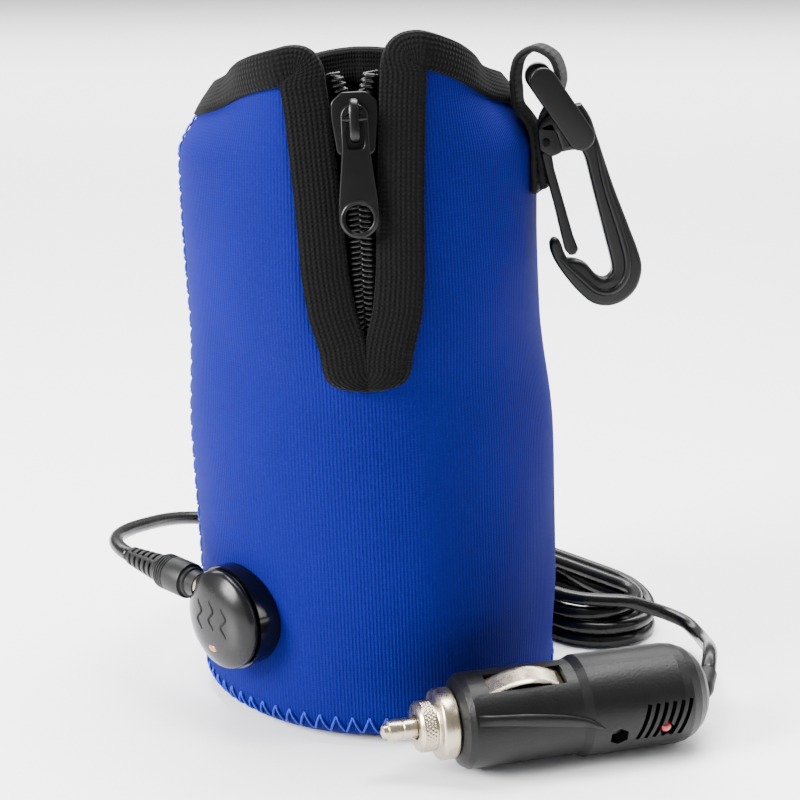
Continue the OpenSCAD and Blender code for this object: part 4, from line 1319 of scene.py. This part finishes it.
def build_dc_plug():
    m = plug_matrix()
    profile = [[2.75, -2.2], [3.0, -2.2], [3.1, 0.5], [PLUG_R - 0.9, 0.6], [PLUG_R - 0.7, 0.9],
               [PLUG_R - 0.7, 1.7], [PLUG_R - 0.1, 1.9], [PLUG_R, 2.2], [PLUG_R, 7.6]]
    for i in range(4):
        z = 7.8 + 0.8 * i
        profile += [[PLUG_R, z], [PLUG_R - 0.22, z + 0.12], [PLUG_R - 0.22, z + 0.38], [PLUG_R, z + 0.5]]
    profile += [[PLUG_R - 0.1, 11.1], [PLUG_R - 0.7, 11.8], [3.3, 12.0], [2.75, 12.0]]
    body = lathe("dc_plug_shell", profile + [profile[0]], m, 72)
    finish_piece(body, LEAD, "dc_plug", ["dc_plug_body"], sharp=30)
    segments = [lathe("boot_core", [[0, 12.05], [2.3, 12.05], [2.1, 16], [1.95, 25], [0, 25]], m, 32)]
    radii = np.interp(np.linspace(12.1, 24.6, 6), [12, 25], [3.35, 2.25])
    for i, (r, z) in enumerate(zip(radii, np.linspace(12.1, 23.2, 6))):
        ring = [[1.5, z], [r - 0.15, z], [r, z + 0.15], [r - 0.04, z + 1.25], [r - 0.2, z + 1.4],
                [1.5, z + 1.4], [1.5, z]]
        segments.append(lathe(f"boot_ring_{i}", ring, m, 40))
    for i, angle in enumerate((45, 135, 225, 315)):
        c, s = math.cos(math.radians(angle)), math.sin(math.radians(angle))
        pts = np.array([[c * r, s * r, z] for r, z in ((2.9, 12.3), (2.6, 16), (2.25, 20), (1.95, 24.2))])
        segments.append(tube(f"boot_rib_{i}", placed(pts, m), [0.55, 0.5, 0.45, 0.35], 8))
    boot = joined("dc_plug_relief", segments)
    finish_piece(boot, LEAD, "dc_plug", ["dc_plug_boot"], sharp=35)
    return body, boot


build_dome()
build_heat_mark()
dc_body, dc_boot = build_dc_plug()

# ---------------------------------------------------------------- car plug

CAR_TIP = np.array([0.6, -58.3, 11.3])
CAR = matrix_of(CAR_TIP, turn("Z", 16.9) @ turn("Y", 90) @ turn("Z", 18))
KNURL_Z = (8.3, 11.3)
KNURL_R = 5.5
LEAF_START = 23.0
LEAF_LEN = 17.0
LEAF_R = 8.55
LEAF_BOW = 2.6
LEAF_HALF_W = 2.6
SWOOSH_START = 18.9
SWOOSH_LEN = 28.5
SWOOSH_RISE = 0.95


def build_nose():
    """Nose ring: a knurled band between a small rim and a plain collar."""
    steps, rows = 144, 26
    low, high = KNURL_Z
    rings = []
    for i in range(steps):
        a = 2 * math.pi * i / steps
        profile = [[2.75, 7.7], [4.7, 7.6], [5.15, 7.8], [5.3, 8.15]]
        for k in range(rows + 1):
            t = k / rows
            slant = 5 * t * math.pi / 2
            knurl = 0.17 * (abs(math.sin(18 * a + slant)) + abs(math.sin(18 * a - slant)))
            fade = min(1, 8 * t, 8 * (1 - t))
            profile.append([KNURL_R + (knurl - 0.26) * fade, low + (high - low) * t])
        profile += [[5.4, 11.5], [5.6, 11.8], [6.9, 12.0], [7.45, 12.2], [7.7, 12.6], [7.75, 13.0],
                    [7.75, 15.4], [7.6, 15.68], [4.9, 15.7], [4.9, 21.4], [4.0, 21.5], [4.0, 11.5],
                    [2.75, 11.5], [2.75, 7.7]]
        rings.append([[r * math.cos(a), r * math.sin(a), z] for r, z in profile])
    nose = loft("nose_cap", placed(rings, CAR), close_ring=False, caps=False, close_path=True)
    finish_piece(nose, NICKEL, "nose", ["nose_ring"], sharp=50)


def build_tip():
    profile = [[0, 0], [1.0, 0.05], [1.45, 0.35], [1.6, 0.9], [1.65, 1.3], [2.2, 1.5], [2.35, 1.9],
               [2.35, 4.2], [2.2, 4.35], [2.2, 4.6], [2.35, 4.75], [2.35, 11.9], [3.6, 11.9], [3.6, 13.4],
               [0, 13.4]]
    tip = lathe("tip_pin", profile, CAR, 64)
    finish_piece(tip, NICKEL, "tip", ["tip_contact"], sharp=40)


def build_leaves():
    """Side contacts: bowed strips of nickelled brass with thinned edges."""
    pieces = []
    for side, place in ((-1, "upper"), (1, "lower")):
        t = np.linspace(0, 1, 28)
        z = LEAF_START + LEAF_LEN * t
        x = LEAF_R + LEAF_BOW * np.sin(np.pi * t)
        along = unit(np.gradient(np.stack([x, z], 1), axis=0))
        normal = np.stack([along[:, 1], -along[:, 0]], 1)
        across, out = strip_section(11, LEAF_HALF_W, 0.35, 0.5)
        rings = [np.stack([side * (xi + n[0] * out), across, zi + n[1] * out], 1)
                 for xi, zi, n in zip(x, z, normal)]
        leaf = loft(f"side_contact_{place}_leaf", placed(rings, CAR))
        finish_piece(leaf, NICKEL, f"{place}_contact", [f"side_contact_{place}"], sharp=50)
        pieces.append(leaf)
    return pieces


def build_swoosh():
    """Raised blade on the handle's face, from near the nose to a blunt end; its edges are in degrees."""
    t = np.linspace(0, 1, 48)
    z = SWOOSH_START + SWOOSH_LEN * t
    upper = spline([[0, -138], [0.25, -135], [0.5, -130.5], [0.75, -123.5], [0.9, -115.5],
                    [1.0, -104.5]], 0.5)
    lower = spline([[0, -126], [0.25, -121.5], [0.5, -116], [0.75, -110], [1.0, -103.5]], 0.5)
    high = np.radians(np.interp(t, upper[:, 0], upper[:, 1]))
    low = np.radians(np.interp(t, lower[:, 0], lower[:, 1]))
    radius = 10.45 + 0.85 * smooth((z - 43) / 2)
    ending = np.clip(np.minimum(t / 0.12, (1 - t) / 0.05), 0.08, 1) ** 0.5
    across = np.linspace(0, 1, 13)
    crown = np.sin(np.pi * (0.06 + 0.88 * across)) ** 0.6 * (1 - 0.45 * across)
    rings = []
    for zi, a, b, r, e in zip(z, high, low, radius, ending):
        angle = a + (b - a) * across
        rise = r + SWOOSH_RISE * e * crown
        face = np.stack([rise * np.cos(angle), rise * np.sin(angle), np.full(13, zi)], 1)
        sunk = [[(r - 0.5) * math.cos(c), (r - 0.5) * math.sin(c), zi] for c in (b, a)]
        rings.append(np.vstack([face, sunk]))
    piece = loft("plug_swoosh_rib", placed(rings, CAR))
    return finish_piece(piece, SHELL, "root", sharp=50)


build_nose()
build_tip()
leaves = build_leaves()
swoosh = build_swoosh()

# CAD nodes that stay in the visual model: material, and width of their softened edges in millimetres.
# Those of the second table lie on the cord.
FIXED_LOOKS = {
    "heating_element": (FILM, 0), "thermal_switch": (WHITE, 0.3), "zip_stop": (STEEL, 0.3),
    "gate_pin": (STEEL, 0.15), "controller_base": (GLOSS, 0.25), "circuit_board": (BOARD, 0),
    "dc_jack": (LEAD, 0.15), "jack_pin": (NICKEL, 0.1), "backing_plate": (STEEL, 0),
    "housing_screws": (STEEL, 0.1), "heater_leads": (WIRE, 0)}
CORD_LOOKS = {
    "dc_plug_barrel": (NICKEL, 0.1), "cord_tie": (LEAD, 0.3), "car_plug_shell_front": (SHELL, 0.2),
    "car_plug_shell_back": (SHELL, 0.2), "fuse": (TUBE, 0.2), "fuse_spring": (STEEL, 0),
    "car_plug_led": (RED, 0), "car_plug_board": (BOARD, 0), "car_plug_screw": (STEEL, 0.1),
    "cable_boot": (LEAD, 0.2)}
for name, look in FIXED_LOOKS.items():
    smooth_node(name, *look)
cord_nodes = [smooth_node(name, *look) for name, look in CORD_LOOKS.items()]

# ---------------------------------------------------------------- stage


def build_stage():
    corners = [[-4000, -3000, 0], [4000, -3000, 0], [4000, 5000, 0], [-4000, 5000, 0]]
    floor = mesh_piece("floor", corners, [(0, 1, 2, 3)])
    floor.location.z = -0.0001
    s = Shader("pale_floor", (0.93, 0.93, 0.94), 0.28)
    s.tint(s.spread(s.noise(3, detail=2), -0.1, 0.2), (0.9, 0.9, 0.915))
    floor.data.materials.append(s.material)


def add_light(name, location, target, size, power):
    data = bpy.data.lights.new(name, "AREA")
    data.shape = "RECTANGLE"
    data.size, data.size_y = size
    data.energy = power
    light = bpy.data.objects.new(name, data)
    light.location = location
    light.rotation_euler = (Vector(target) - Vector(location)).to_track_quat("-Z", "Y").to_euler()
    bpy.context.scene.collection.objects.link(light)


def build_light():
    world = bpy.data.worlds.new("studio")
    bpy.context.scene.world = world
    world.use_nodes = True
    background = world.node_tree.nodes["Background"]
    background.inputs["Color"].default_value = (1, 1, 1, 1)
    background.inputs["Strength"].default_value = 0.47
    add_light("key", (-0.92, -0.42, 0.55), (0, 0, 0.08), (0.4, 0.6), 54)
    add_light("top", (0.05, 0.15, 0.9), (0.02, 0, 0.05), (0.7, 0.5), 32)
    add_light("backdrop", (0, 1.6, 1.3), (0, 2.2, 0), (3.5, 1.5), 240)
    add_light("rim", (0.7, -0.1, 0.35), (0.04, 0, 0.08), (0.15, 0.6), 2.5)


build_stage()
build_light()
